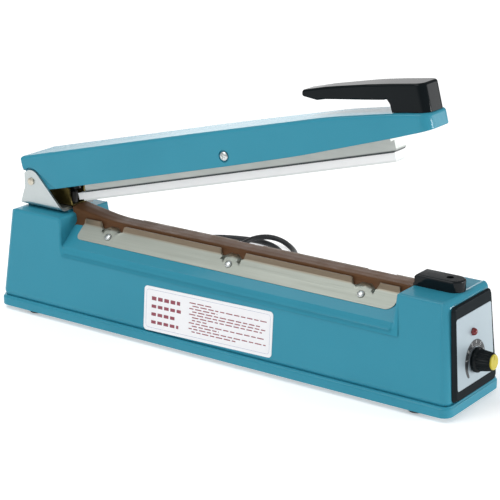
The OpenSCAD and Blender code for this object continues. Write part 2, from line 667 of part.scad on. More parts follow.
// Laminated core with two windows, on a mounting foot
module transformer_core() color([0.4, 0.38, 0.36]) {
    difference() {
        translate([core_x - core_size[0]/2, -core_size[1]/2, core_z]) cube(core_size);
        for (side = [-1, 1]) translate([core_x + (side * 1.5 - 0.5) * core_leg, -core_size[1],
            core_z + core_leg]) cube([core_leg, 2*core_size[1], core_size[2] - 2*core_leg]);
    }
    difference() {
        translate([core_x - 26, -core_size[1]/2 - 9, plate_t])
            cube([52, core_size[1] + 18, core_z - plate_t + eps]);
        core_screw_holes();
    }
}

module transformer_coil() color([0.75, 0.55, 0.2]) difference() {
    translate([core_x - 2*core_leg + 0.2, -coil_half, core_z + core_leg + 0.2])
        cube([4*core_leg - 0.4, 2*coil_half, core_size[2] - 2*core_leg - 0.4]);
    translate([core_x - core_leg - 0.01, -core_size[1]/2 - 0.01, 0])
        cube([2*core_leg + 0.02, core_size[1] + 0.02, 60]);
}

module transformer_screws() color([0.8, 0.8, 0.78]) for (x = core_screw_x, side = [-1, 1])
    translate([x, side * core_screw_y, core_z + eps]) pan_screw(3, 1.8, 1.8, core_z);

// The switch's case has two ears that hold the lever's pin, a plunger and three terminals
module microswitch() color([0.13, 0.13, 0.14]) difference() {
    union() {
        translate([switch_x[0], -switch_half, switch_z[0]])
            cube([switch_x[1] - switch_x[0], 2*switch_half + 0.6, switch_z[1] - switch_z[0]]);
        for (y = [-3.2, 2.4]) translate([switch_x[0] + 0.4, y, switch_z[1] - eps]) cube([3.2, 0.8, 3.8]);
        rod_y([lever_pivot[0], lever_pivot[2]], 0.5, -2.5, 2.5);
        translate([33, -1.5, switch_z[1] - eps]) cube([3, 3, 1.6]);
        for (x = [20, 31, 42]) translate([x, -1.6, switch_z[0] - 6.5]) cube([0.8, 3.2, 7]);
    }
    for (x = switch_screw_x) rod_y([x, switch_screw_z], 1.2, -switch_half - 1, switch_half + 2);
}

module switch_screws() color([0.8, 0.8, 0.78]) for (x = switch_screw_x) {
    rod_y([x, switch_screw_z], 1.2, -switch_half - 0.1, switch_half + wall);
    rod_y([x, switch_screw_z], 2.2, -switch_half - 1.6, -switch_half);
}

module switch_lever() color([0.8, 0.8, 0.8]) translate(lever_pivot) rotate([0, -lever_rest, 0]) difference() {
    union() {
        rod_y([0, 0], 1, -2, 2);
        translate([0, -2, 0.3]) cube([lever_l, 4, lever_t]);
    }
    rod_y([0, 0], 0.55, -3, 3);
}

// A guided rod with a collar that stops it under the casing's roof
module switch_pushrod() color([0.1, 0.1, 0.1]) translate([rod_x, 0, 0]) {
    translate([0, 0, rod_top_z - rod_l]) cylinder(r = rod_r, h = rod_l - 1 + eps);
    translate([0, 0, rod_top_z - 1]) cylinder(r1 = rod_r, r2 = rod_r - 1, h = 1);
    translate([0, 0, body_h - wall - 0.3 - collar_h]) cylinder(r = rod_r + 1.3, h = collar_h);
}

// Mains, switch, timer and lamp wires
wire_r = 0.9;
wire_z = board_top + 4;
module wire_harness() color([0.6, 0.3, 0.12]) {
    for (path = [
        [[cord_exit_x + 2, 24.6, 16.5], [150, 21, 14], [160, 12, 9], [176, -10, 6], [194, -27, 5],
            [230, -29, 5], [280, -27, 5], [312, -18, 6], [332, -8, 9], [342.6, -2, wire_z]],
        [[cord_exit_x - 2, 24.6, 16.5], [136, 21, 13], [118, 14, 10], [94, 4, 9], [70, -8, 12],
            [56, -12, 20], [46, -6, 29], [43.2, -1.5, 34], [42.4, -0.5, 37.4]],
        [[31.4, 0.5, 37.4], [32.4, 2, 34], [38, 10, 28], [52, 20, 20], [90, 27, 8], [150, 12, 4],
            [200, 28, 5], [270, 28, 5], [315, 16, 6], [334, 8, 10], [342.6, 4, wire_z]],
        [[342.6, 1, wire_z + 2], [325, -14, 10], [292, -27, 9], [262, -28, 14], [246, -25, 19],
            [239, -22, 22]],
        [[388, 4, wire_z], [396, 3.4, 17], [404, 1, 23], [409, -0.5, 29], [413, -0.5, 33.6]],
        [[388, -4, wire_z], [392, -6, 20], [398, -6, 34], [402, -4, 48], [410.2, -2.3, 54.4]]])
        tube(smooth(path, 2), wire_r, 6);
}

// The two heavy wires from the transformer to the ribbon's ends
module ribbon_wires() color([0.75, 0.12, 0.1]) for (path = [
    [[224, 22, 30], [214, 24, 34], [200, 20, 42], [176, 10, 50], [140, 4, 56], [104, 1, 60],
        [84, 0, 64], [70.5, 0, 66]],
    [[248, 22, 30], [258, 24, 34], [272, 20, 42], [296, 10, 50], [330, 4, 56], [360, 1, 59],
        [378, 0, 62], [387, 0, 68], [389.6, 0, 76], [390.2, 0, terminal_z - 0.1]]])
    tube(smooth(path, 2), wire_r, 6);

module rating_label() color([0.95, 0.95, 0.95]) translate([215, -side_y(28.9), 28.9])
    rotate([90 - side_tilt, 0, 0]) rotate([0, 0, 1.2])
    translate([0, 0, eps]) rounded_plate(-61.5, 61.5, 17.9, 3, 0.3);

// Mains lead --------------------------------------------------------------

module cord_gland() color([0.08, 0.08, 0.08]) translate([cord_exit_x, 0, gland_z]) rotate([-90, 0, 0]) {
    translate([0, 0, gland_y - 12]) cylinder(r = gland_r, h = 12 + eps);
    translate([0, 0, gland_y]) cylinder(r = gland_flange_r, h = 3.4);
    translate([0, 0, gland_y + 3.4 - eps])
        cylinder(r1 = gland_r + 0.4, r2 = cord_d/2 + 0.8, h = gland_end_y - gland_y - 3.4 + eps);
}

// The rest of the lead is placed from the origin, on the surface that the object stands on
module power_cord() color([0.07, 0.07, 0.07]) {
    tube(smooth(cord_route, 2), cord_d/2, 8);
    tube(smooth(plug_route, 1), cord_d/2, 8);
}
module cord_coil() color([0.07, 0.07, 0.07]) translate([coil_at[0], coil_at[1], 0]) rotate_extrude()
    translate([coil_r[0], 0]) square([coil_r[1] - coil_r[0], coil_h]);
module cord_tie() color([0.1, 0.1, 0.1]) translate([coil_at[0] - (coil_r[0] + coil_r[1])/2, coil_at[1], 0])
    difference() {
        translate([-6.4, -2, 0]) cube([12.8, 4, coil_h + 1.1]);
        translate([-5.2, -3, -1]) cube([10.4, 6, coil_h + 1]);
    }
module plug_body() color([0.08, 0.08, 0.08]) translate(plug_at) rotate([0, -90, 0]) {
    cylinder(r1 = cord_d/2 + 0.8, r2 = 5, h = 12);
    translate([0, 0, 12 - eps]) linear_extrude(26) {
        translate([-7, -6.5]) square([14, 13]);
        for (side = [-1, 1]) translate([0, side * 6.5]) circle(r = 7);
    }
}
module plug_pins() color([0.82, 0.8, 0.72]) translate(plug_at) rotate([0, -90, 0]) for (side = [-1, 1])
    translate([0, side * 9.5, 38]) {
        cylinder(r = 2, h = 18);
        translate([0, 0, 18 - eps]) cylinder(r1 = 2, r2 = 1.2, h = 1);
    }

// Arm, drawn closed -------------------------------------------------------

// Plan of the arm, with t taken off each side and off the tip
module arm_plan(t) {
    half = arm_w/2 - t;
    tip_half = arm_tip_w/2 - t;
    r = arm_tip_r - t;
    tip = arm_tip_x - t;
    polygon([[arm_x0 - 10, -half], [230, -half], [tip - r, -tip_half], [tip, r - tip_half],
        [tip, tip_half - r], [tip - r, tip_half], [230, half], [arm_x0 - 10, half]]);
    for (side = [-1, 1]) translate([tip - r, side * (tip_half - r)]) circle(r = r);
}
module arm_slice(t) translate([0, 0, 80]) linear_extrude(60) arm_plan(t);

// Side view of the tail's hollow, open at the bottom and at the low part of the end
module tail_hollow() polygon([[arm_x0 - 1, 90], [arm_x0 - 1, 114.5], [arm_x0 + wall, 114.5],
    [arm_x0 + wall, 127.4 - wall], [tail_x1 + 1, 126.8 - wall], [tail_x1 + 1, 90]]);
module main_hollow() polygon(concat([[tail_x1, 90], [tail_x1, 126.8 - wall]],
    [for (i = [1:4]) arm_top[i] - [0, wall]], [[arm_tip_x, 90]]));
// What is cut from each side of the tail to make room for the bracket's cheeks
module recess() {
    cheek_outline(1.6);
    translate([0, 80]) square([pin_x, pin_z - 80]);
    translate([arm_x0 - 5, pin_z - 8]) square([8, 15]);
}

module arm_casing() color([0.26, 0.56, 0.66]) difference() {
    union() {
        difference() {
            intersection() {
                along_y(-arm_w/2, arm_w/2) polygon(concat(arm_top, arm_under));
                arm_slice(0);
            }
            intersection() {
                along_y(-arm_w/2, arm_w/2) main_hollow();
                arm_slice(wall);
            }
            along_y(wall - tail_half, tail_half - wall) tail_hollow();
            for (side = [-1, 1]) along_y(side * tail_half, side * 25) recess();
        }
        translate([rod_x, 0, 114]) cylinder(r = bolt_boss_r, h = 11);
        for (i = [0, 1]) translate([handle_screw_x[i], 0, handle_screw_z]) cylinder(r = 4.5, h = [6.4, 5][i]);
    }
    rod_y([pin_x, pin_z], bush_r, -30, 30);
    for (side = [-1, 1]) {
        rod_y(side_screw, 2.1, side * 15, side * 25);
        rod_y(side_screw, 4.75, side * head_y, side * 25);
    }
    translate([rod_x, 0, 100]) cylinder(r = bolt_r, h = 20);
    for (x = handle_screw_x) translate([x, 0, 100]) cylinder(r = screw_r, h = 30);
}

module hinge_bush(side) color([0.9, 0.88, 0.8]) difference() {
    rod_y([pin_x, pin_z], bush_r, side * 10.3, side * 18.3);
    rod_y([pin_x, pin_z], pin_r + 0.05, -30, 30);
}
module hinge_bush_front() hinge_bush(-1);
module hinge_bush_back() hinge_bush(1);

// The bolt's head presses the pushrod; a lock nut holds it against its boss
module striker_bolt() color([0.35, 0.35, 0.35]) translate([rod_x, 0, striker_z]) {
    cylinder(r = 4.4, h = 3.2, $fn = 6);
    translate([0, 0, 3.2 - eps]) cylinder(r = bolt_r, h = 24);
    translate([0, 0, 114 - 3.2 - striker_z]) cylinder(r = 4.4, h = 3.2, $fn = 6);
}

// The bar hangs from the two side screws by a cross block at the middle of the arm
module press_bar() color([0.6, 0.62, 0.61]) difference() {
    union() {
        translate([bar_x[0], -bar_half, bar_z]) cube([bar_x[1] - bar_x[0], 2*bar_half, 9]);
        translate([bar_x[0], -12, bar_z + 9 - eps]) cube([bar_x[1] - bar_x[0], 24, 2]);
        translate([side_screw[0] - 12, -block_half, bar_z + 11 - eps]) cube([24, 2*block_half, 11]);
    }
    along_y(-30, 30) difference() {
        translate([bar_x[1] - 3, bar_z - 1]) square([10, 4]);
        translate([bar_x[1] - 3, bar_z + 3]) circle(r = 3);
    }
    rod_y(side_screw, screw_r, -30, 30);
}

// The rubber is cut back at its hinge end, where it would meet the casing's block
module silicone_strip() color([0.95, 0.95, 0.94]) difference() {
    translate([strip_x[0], -strip_half, closed_z])
        cube([strip_x[1] - strip_x[0], 2*strip_half, bar_z - closed_z]);
    translate([strip_x[0] - 1, -strip_half - 1, closed_z - 1])
        cube([strip_relief[0] + 1, 2*strip_half + 2, strip_relief[1] + 1]);
}

module arm_side_screws() color([0.8, 0.8, 0.78]) for (side = [-1, 1]) {
    rod_y(side_screw, screw_r, side * 10, side * (head_y + 0.1));
    difference() {
        rod_y(side_screw, 3.75, side * head_y, side * (head_y + 1.8));
        translate([side_screw[0], side * (head_y + 1.8), side_screw[1]]) rotate([0, 30, 0])
            cube([1, 1.6, 9], center = true);
    }
}

// Side view of the handle: a column on the arm's tip and a grip that reaches back over the arm
module handle_side() polygon([[378, 117.95], [handle_x[0], 118.04], [376.4, 126.2], [373.5, 128.2], [371.5, 127.8],
    [319.7, 134.3], [312, 134.5], [299.2, 139.2], [300.6, 143.7], [322, 143.3], [340, 142.1], [360, 140.6],
    [378.2, 138.6], [handle_x[1], 135], [handle_x[1], 114.15]]);
module handle_plan() {
    polygon([[298, -7.5], [333, -9.8], [356, -12.2], [366, -handle_half],
        [handle_x[1] - handle_r, -handle_half], [handle_x[1], handle_r - handle_half],
        [handle_x[1], handle_half - handle_r], [handle_x[1] - handle_r, handle_half],
        [366, handle_half], [356, 12.2], [333, 9.8], [298, 7.5]]);
    for (side = [-1, 1]) translate([handle_x[1] - handle_r, side * (handle_half - handle_r)])
        circle(r = handle_r);
}

module handle() color([0.13, 0.15, 0.16]) difference() {
    intersection() {
        along_y(-handle_half, handle_half) handle_side();
        translate([0, 0, 100]) linear_extrude(60) handle_plan();
    }
    for (x = handle_screw_x) translate([x, 0, 100]) cylinder(r = screw_r, h = 30);
}

module handle_screws() color([0.8, 0.8, 0.78]) for (x = handle_screw_x)
    translate([x, 0, handle_screw_z]) rotate([180, 0, 0]) pan_screw(3, 1.9, screw_r, 20);

stand() base_casing();
stand() bottom_plate();
stand() foot_hinge_front();
stand() foot_hinge_back();
stand() foot_dial_front();
stand() foot_dial_back();
stand() foot_screws();
stand() hinge_bracket();
stand() spring_bracket();
stand() bracket_screws();
stand() hinge_pin();
stand() pin_clip();
stand() return_spring();
stand() bed_board();
stand() heating_ribbon();
stand() ribbon_tensioner();
stand() tension_spring();
stand() terminal_base();
stand() terminal_cover();
stand() cover_screw();
stand() ptfe_sheet();
stand() clamp_plate_front();
stand() clamp_plate_back();
stand() plate_screws();
stand() panel_frame();
stand() panel_plate();
stand() lamp_lens();
stand() lamp_body();
stand() timer_pot();
stand() pot_nut();
stand() timer_shaft();
stand() knob();
stand() knob_cap();
stand() circuit_board();
stand() board_parts();
stand() transformer_core();
stand() transformer_coil();
stand() transformer_screws();
stand() microswitch();
stand() switch_screws();
stand() switch_lever();
stand() switch_pushrod();
stand() wire_harness();
stand() ribbon_wires();
stand() cord_gland();
stand() rating_label();
power_cord();
cord_coil();
cord_tie();
plug_body();
plug_pins();
stand() raise() arm_casing();
stand() raise() press_bar();
stand() raise() silicone_strip();
stand() raise() arm_side_screws();
stand() raise() striker_bolt();
stand() raise() handle();
stand() raise() handle_screws();
stand() raise() hinge_bush_front();
stand() raise() hinge_bush_back();
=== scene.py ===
# A hand impulse sealer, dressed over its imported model. The sections follow the sealer as it is put
# together: the room, the mains lead, the casing with its label, the bed, the dial end, the works,
# the hinge, the arm and the handle.
from math import acos, atan, atan2, cos, degrees, pi, radians, sin, sqrt, tan

import bmesh
import bpy
from mathutils import Matrix, Vector


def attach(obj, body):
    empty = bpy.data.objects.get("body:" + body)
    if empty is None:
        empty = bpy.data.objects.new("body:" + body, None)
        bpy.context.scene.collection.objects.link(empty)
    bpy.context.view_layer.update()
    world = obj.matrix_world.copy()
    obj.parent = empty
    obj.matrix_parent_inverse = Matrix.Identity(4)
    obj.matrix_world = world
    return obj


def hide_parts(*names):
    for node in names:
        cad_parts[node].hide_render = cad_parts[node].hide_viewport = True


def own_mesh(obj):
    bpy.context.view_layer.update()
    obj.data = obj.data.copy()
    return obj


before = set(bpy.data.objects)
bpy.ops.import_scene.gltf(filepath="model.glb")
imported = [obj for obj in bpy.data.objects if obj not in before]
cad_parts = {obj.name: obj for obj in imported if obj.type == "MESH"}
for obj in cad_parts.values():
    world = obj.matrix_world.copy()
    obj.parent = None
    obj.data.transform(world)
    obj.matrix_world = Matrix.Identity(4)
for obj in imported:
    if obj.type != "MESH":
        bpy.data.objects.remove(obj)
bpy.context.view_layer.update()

# The room ------------------------------------------------------------------------------------
# A white bench top, lit from below as in a product studio. Lamps stand in front, above and at the
# right, where a narrow one draws the edges; a low bright card behind whitens the arm's top.

MM = 0.001
HALF_LENGTH = 222.6187
FOOT = 3.5
SENSOR, REACH = 36, 1761.6 / 500


def mm(x, y, z):
    return Vector((x, y, z)) * MM


def spot(x, y, z):
    """A place counted in millimetres from the casing's hinge end, middle plane and bottom rim."""
    return Vector(((x - HALF_LENGTH) * MM, y * MM, (z + FOOT) * MM))


def linked(name, data):
    """A new object in the scene"""
    made = bpy.data.objects.new(name, data)
    bpy.context.scene.collection.objects.link(made)
    return made


camera = linked("camera", bpy.data.cameras.new("camera"))
bpy.context.scene.camera = camera
aim, around, above, away = spot(229.892, 0, 79.335), radians(35.336), radians(17.858), 1.364442
gaze = Vector((sin(around) * cos(above), -cos(around) * cos(above), sin(above)))
camera.location = aim + away * gaze
camera.rotation_euler = gaze.to_track_quat("Z", "Y").to_euler()
camera.data.lens = REACH * SENSOR
camera.data.sensor_width = SENSOR
camera.data.clip_end = 20

bpy.context.scene.view_settings.view_transform = "Standard"
world = bpy.context.scene.world or bpy.data.worlds.new("sky")
bpy.context.scene.world = world
world.use_nodes = True
sky = world.node_tree.nodes["Background"]
sky.inputs["Color"].default_value = (1, 1, 1, 1)
sky.inputs["Strength"].default_value = 0.45


def lamp(name, place, size, watts):
    light = bpy.data.lights.new(name, "AREA")
    light.shape, light.size, light.size_y, light.energy = "RECTANGLE", size[0], size[1], watts
    holder = linked(name, light)
    holder.location = place
    holder.rotation_euler = (Vector(place) - aim).to_track_quat("Z", "Y").to_euler()


lamp("lamp_front", (-0.2, -1.9, 1.3), (1.6, 0.7), 6.5)
lamp("lamp_above", (-0.5, -0.7, 1.7), (1.6, 1.0), 14)
lamp("lamp_strip", (1.56, 0.56, 0.3), (0.5, 0.25), 9)
lamp("lamp_right", (1.2, 1.35, 0.3), (0.9, 0.5), 4.2)
lamp("card_behind", (-1.4, 1.8, 0.4), (2.2, 0.9), 13)


def feed(tree, socket, value):
    """Links a value that a node gives, or sets a plain one"""
    if isinstance(value, Socket):
        value = value.socket
    if isinstance(value, bpy.types.NodeSocket):
        tree.links.new(value, socket)
    else:
        socket.default_value = value


def add_node(tree, kind, settings=None, sockets=None):
    made = tree.nodes.new(kind)
    for label, value in (settings or {}).items():
        setattr(made, label, value)
    for label, value in (sockets or {}).items():
        feed(tree, made.inputs[label], value)
    return made


class Socket:
    """An output of a material's nodes. Sums and products on it add Math nodes."""

    def __init__(self, finish, socket):
        self.finish, self.socket = finish, socket

    def maths(self, operation, *terms):
        return self.finish.node("Math", {"operation": operation}, dict(enumerate(terms)))

    def __add__(self, other):
        return self.maths("ADD", self, other)

    def __mul__(self, other):
        return self.maths("MULTIPLY", self, other)


class Finish:
    """A material. What is the same all over is set on the shader; the rest comes from nodes."""

    def __init__(self, name, **even):
        self.material = bpy.data.materials.new(name)
        self.material.use_nodes = True
        self.tree = self.material.node_tree
        self.shader = self.tree.nodes["Principled BSDF"]
        self.varies(**even)

    def node(self, kind, settings=None, sockets=None, out=0):
        made = add_node(self.tree, "ShaderNode" + kind, settings, sockets)
        return Socket(self, made.outputs[out])

    def varies(self, **sockets):
        for label, value in sockets.items():
            feed(self.tree, self.shader.inputs[label.replace("_", " ")], value)
        return self

    def place(self):
        return self.node("TexCoord", out=3)

    def grain(self, scale, stretch=(1, 1, 1), detail=3.0, turn=(0, 0, 0)):
        """Noise on the piece's own coordinates, in cycles a metre, from 0 to 1"""
        laid = self.node("Mapping", {}, {"Vector": self.place(), "Scale": stretch,
                                         "Rotation": turn})
        return self.node("TexNoise", {}, {"Vector": laid, "Scale": scale, "Detail": detail,
                                          "Roughness": 0.55})

    def spread(self, value, low, high, to_low, to_high):
        return self.node("MapRange", {}, {0: value, 1: low, 2: high, 3: to_low, 4: to_high})

    def mix(self, factor, first, second):
        return self.node("Mix", {"data_type": "RGBA"}, {0: factor, 6: first, 7: second}, out=2)

    def drift(self, grain, dark, light):
        """A colour that moves with the grain between two shades, as they look on a screen"""
        return self.mix(grain, shade(*dark), shade(*light))

    def toned(self, grain, dark, light):
        return self.varies(Base_Color=self.drift(grain, dark, light))

    def rubbed(self, grain, low, high):
        """A roughness that moves with the grain between two values"""
        return self.varies(Roughness=self.spread(grain, 0.3, 0.7, low, high))

    def bumped(self, height, depth, strength=1.0):
        bump = self.node("Bump", {}, {"Height": height, "Distance": depth, "Strength": strength})
        return self.varies(Normal=bump)


def shade(r, g, b):
    """A colour as it looks on a screen, from 0 to 255, turned to light"""
    return (*(((c / 255 + 0.055) / 1.055) ** 2.4 if c > 10 else c / 3295 for c in (r, g, b)), 1)


def plain(name, dark, light, scale, rub=None, rough=None, bump=None, **even):
    """A finish with one grain for its tone and, where there is one, another that rubs and bumps"""
    made = Finish(name, **even)
    made.toned(made.grain(scale), dark, light)
    if rub:
        fine = made.grain(*rub)
        made.rubbed(fine, *rough)
        if bump:
            made.bumped(fine, *bump)
    return made


bench = plain("bench_top", (246, 247, 248), (250, 250, 250), 6, Roughness=0.9,
              Emission_Color=(1, 1, 1, 1), Emission_Strength=0.34)
bench_mesh = bpy.data.meshes.new("bench_top")
bench_mesh.from_pydata([(-6, -6, 0), (6, -6, 0), (6, 6, 0), (-6, 6, 0)], [], [(0, 1, 2, 3)])
bench_mesh.materials.append(bench.material)
bench_top = linked("bench_top", bench_mesh)

# The mains lead ------------------------------------------------------------------------------
# A round two-core lead, 5 mm thick, in a black sheath. A ribbed strain relief is moulded on it and
# snaps into the back wall; the spare length is wound into a coil with a tie, and it ends in a
# moulded plug with two round pins.

LEAD = 5.0
lead_route = [(-78.5, 68, 20), (-78.5, 80, 19.5), (-78.5, 94, 16.5), (-78.5, 110, 10.5),
    (-78.5, 126, 5), (-78.5, 143, 2.5), (-78.5, 160, 2.5), (-79.5, 176, 2.5), (-82.5, 191, 2.5),
    (-88.5, 206, 2.5), (-97.5, 219, 3), (-109, 228, 4.5), (-122, 232, 7.2), (-134.5, 229, 9),
    (-144, 219.5, 8.2), (-148.5, 206, 5.2), (-150, 192, 2.6), (-155.5, 179, 2.5),
    (-167, 171.5, 2.5), (-181, 171.5, 2.5), (-192.5, 179.5, 2.5), (-197.5, 192.5, 2.5),
    (-195, 206.5, 2.5), (-186, 217, 2.5), (-173, 224, 2.5), (-159.5, 228.5, 2.5),
    (-146, 230.5, 2.5), (-133.5, 228.5, 2.5), (-122.5, 223.5, 2.5), (-112.5, 216.5, 2.5),
    (-104.5, 207, 2.5), (-99.5, 195, 2.5), (-97, 181, 2.5), (-96, 164, 2.5), (-96, 145, 2.5),
    (-96, 122, 2.5)]
plug_route = [(-126, 69.5, 7.5), (-137, 69.5, 7.5), (-148, 70, 7.2), (-159, 71, 7), (-170, 72, 7)]
COIL = (-126, 100)


def clamp(t):
    return min(max(t, 0), 1)


def smooth_step(t):
    t = clamp(t)
    return t * t * (3 - 2 * t)


def coil_turns():
    """Two turns and an eighth go inward on the bench, then as many come outward on top of them"""
    laid, steps, change, over = [], 24, 0.3, 5.1
    for i in range(int(4.25 * steps) + 1):
        turn = i / steps
        inward = clamp((turn - 0.9) / change) - clamp((turn - 3.0) / change)
        radius = 30.4 - over * smooth_step(inward)
        angle = -2 * pi * turn
        laid.append((COIL[0] + radius * cos(angle), COIL[1] + radius * sin(angle),
                     LEAD / 2 + over * smooth_step((turn - 1.95) / change)))
    return laid


def through(points, steps):
    """A smooth line through the points"""
    line = []
    for i in range(len(points) - 1):
        a, b, c, d = (Vector(points[min(max(k, 0), len(points) - 1)]) for k in range(i - 1, i + 3))
        line += [0.5 * (2 * b + (c - a) * t + (2 * a - 5 * b + 4 * c - d) * t * t
                        + (3 * b - a - 3 * c + d) * t ** 3)
                 for t in (k / steps for k in range(steps))]
    return line + [Vector(points[-1])]


lead_line = [p * MM for p in through(lead_route + coil_turns() + plug_route[1:], 4)]
lead_length = sum((b - a).length for a, b in zip(lead_line, lead_line[1:]))

EVEN = (1, 1, 1)
sheath = plain("lead_sheath", (26, 27, 29), (40, 41, 43), 60, (900, EVEN, 4), (0.38, 0.56),
               (0.00006, 0.6), Specular_IOR_Level=0.4)

lead_curve = bpy.data.curves.new("mains_lead", "CURVE")
lead_curve.dimensions = "3D"
lead_curve.bevel_depth, lead_curve.bevel_resolution = LEAD / 2 * MM, 3
lead_curve.use_fill_caps = True
spline = lead_curve.splines.new("POLY")
spline.points.add(len(lead_line) - 1)
for point, place in zip(spline.points, lead_line):
    point.co = (*place, 1)
lead_curve.materials.append(sheath.material)
lead = linked("mains_lead", lead_curve)


def mesh_of(corners, faces, turn_out=True):
    """A mesh from corners in metres, with its faces turned outwards"""
    mesh = bpy.data.meshes.new("shape")
    mesh.from_pydata([tuple(c) for c in corners], [], faces)
    if turn_out:
        form = bmesh.new()
        form.from_mesh(mesh)
        bmesh.ops.remove_doubles(form, verts=form.verts, dist=1e-6)
        bmesh.ops.recalc_face_normals(form, faces=form.faces)
        form.to_mesh(mesh)
        form.free()
    return mesh


def fitted(name, mesh, finish, body, stands_for=(), crease=32):
    """Gives the piece its finish and smooth shading, and makes it ride on its body"""
    mesh.name = name
    made = linked(name, mesh)
    mesh.materials.clear()
    mesh.materials.append(finish.material)
    mesh.shade_smooth()
    if crease:
        mesh.set_sharp_from_angle(angle=radians(crease))
    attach(made, body)
    if stands_for:
        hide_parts(*stands_for)
    return made


def looped(loops, caps="fan"):
    """Closed loops with the same number of points, skinned in order. Each end gets one face, or a
    ladder of them between the loop's two sides."""
    n, last = len(loops[0]), len(loops) - 1
    faces = [(j * n + i, j * n + (i + 1) % n, (j + 1) * n + (i + 1) % n, (j + 1) * n + i)
             for j in range(last) for i in range(n)]
    for base in (0, last * n):
        if caps == "fan":
            faces.append(tuple(range(base, base + n)))
        elif caps == "ladder":
            faces += [(base + i, base + i + 1, base + n - 2 - i, base + n - 1 - i)
                      for i in range(n // 2 - 1)]
    return mesh_of([p for loop in loops for p in loop], faces)


def turned(profile, sides=40, flutes=None):
    """A piece turned on a lathe about its own Z, from (radius, height) pairs in millimetres"""
    loops = []
    for r, h in profile:
        deep, count = flutes(r, h) if flutes else (0, 1)
        loops.append([Vector((cos(a), sin(a), 0)) * MM * (r + deep * cos(count * a)) + mm(0, 0, h)
                      for a in (2 * pi * k / sides for k in range(sides))])
    return looped(loops)


def settled(mesh, matrix):
    mesh.transform(matrix)
    return mesh


along_back = Matrix.Translation(mm(-78.5, 0, 20)) @ Matrix.Rotation(-pi / 2, 4, "X")
relief_profile = [(5.0, 27), (5.15, 27.4), (5.15, 37.2), (7.6, 37.2), (8, 37.5), (8, 40.2),
                  (7.5, 40.6), (6.0, 40.6)]
for k in range(7):
    h, r = 41.2 + 3.6 * k, 5.7 - 0.36 * k
    relief_profile += [(r - 1.0, h), (r - 1.0, h + 1.0), (r, h + 1.4), (r - 0.1, h + 3.0),
                       (r - 0.25, h + 3.3)]
relief_profile += [(3.2, 66.8), (3.2, 67.7), (2.9, 68)]
gland = fitted("strain_relief", settled(turned(relief_profile, 32), along_back),
               sheath, "base", ["cord_gland"], 40)

PLUG_Y, PLUG_Z = 72, 7


def pill(half, r, x, n=8):
    """A loop across the plug: a slot shape with its round ends at plus and minus half"""
    return [mm(x, PLUG_Y + s * (half + r * cos(a)), PLUG_Z + s * r * sin(a))
            for s in (1, -1) for a in (-pi / 2 + pi * k / n for k in range(n + 1))]


plug_black = plain("plug_moulding", (28, 29, 31), (38, 39, 41), 90, (1500, EVEN, 2), (0.42, 0.6),
                   (0.00005, 0.7), Specular_IOR_Level=0.45)
plug_line = [(0.2, 3.0, -170), (0.3, 3.3, -170.6)]
for k in range(3):
    x, r = -171.6 - 3 * k, 3.6 + 0.45 * k
    plug_line += [(0.4, r + more, x - back)
                  for more, back in ((-0.7, 0), (-0.7, 0.9), (0, 1.1), (0.1, 2.3))]
plug_line += [(0.6, 4.6, -181.6), (2.8, 5.6, -183.4), (5.0, 6.4, -186), (6.2, 6.9, -190),
              (6.4, 6.9, -197), (6.5, 7.0, -205), (6.5, 7.0, -207.3), (6.4, 6.5, -207.9)]
plug = fitted("moulded_plug", looped([pill(*ring) for ring in plug_line]), plug_black,
              "base", ["plug_body"], 40)

brass = plain("brass", (214, 186, 120), (232, 208, 150), 200, (700, (1, 8, 8)), (0.2, 0.38),
              Metallic=1.0)
pin_meshes = [settled(turned([(2, 0), (2, 17.4), (1.85, 18.3), (1.2, 19)], 24),
                      Matrix.Translation(mm(-208, PLUG_Y + s * 9.5, PLUG_Z))
                      @ Matrix.Rotation(-pi / 2, 4, "Y")) for s in (-1, 1)]


def gathered(meshes):
    """Several meshes as one"""
    whole = bmesh.new()
    for mesh in meshes:
        whole.from_mesh(mesh)
        bpy.data.meshes.remove(mesh)
    mesh = bpy.data.meshes.new("shape")
    whole.to_mesh(mesh)
    whole.free()
    return mesh


pins = fitted("plug_prongs", gathered(pin_meshes), brass, "base", ["plug_pins"])

strap = Finish("tie_strap", Roughness=0.85)
weave = strap.node("TexWave", {"wave_profile": "SIN"},
                   {"Vector": strap.place(), "Scale": 900.0, "Distortion": 1.5})
strap.toned(weave, (24, 24, 26), (44, 44, 47)).bumped(weave, 0.0001, 0.8)


def arc(cx, cy, r, start, turn, steps):
    """Points on a circle, from a start through a turn, both in degrees"""
    return [(cx + r * cos(a), cy + r * sin(a))
            for a in (radians(start + turn * k / steps) for k in range(steps + 1))]


def round_corners(right, left, top, low, r, steps):
    """A loop with four round corners, from the places of their middles"""
    middles = ((right, top), (left, top), (left, low), (right, low))
    return [p for k, (x, y) in enumerate(middles) for p in arc(x, y, r, 90 * k, 90, steps)]


def strap_ring(half_w, half_h, r, y):
    x, z = COIL[0] - 27.9, 5.75
    return [mm(px, y, pz) for px, pz in round_corners(
        x + (half_w - r), x + (r - half_w), z + (half_h - r), z + (r - half_h), r, 6)]


tie_loops = [strap_ring(*ring) for ring in (
    (5.35, 5.3, 2.4, 98.1), (6.1, 5.65, 2.9, 98.1), (6.3, 5.72, 3, 98.6), (6.3, 5.72, 3, 101.4),
    (6.1, 5.65, 2.9, 101.9), (5.35, 5.3, 2.4, 101.9))]
tie = fitted("lead_tie", looped(tie_loops + [tie_loops[0]], "open"), strap, "base",
             ["cord_tie"], 50)

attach(lead, "base")
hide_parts("power_cord", "cord_coil")

# The casing ----------------------------------------------------------------------------------
# One aluminium casting, hollow below, painted a light blue that is stoved to a soft shine. Its
# walls lean in a little so that it leaves the mould; its edges are rounded and carry more paint.

LENGTH, WIDTH, TOP = 430.0, 80.0, 83.0
FLANGE, LEDGE = 8.7, 7.3
BREAK, RISER, RIDGE, BED = 56.0, 77.2, 79.3, 8.5
HINGE_BLOCK, DIAL_BLOCK = 62.0, 380.0

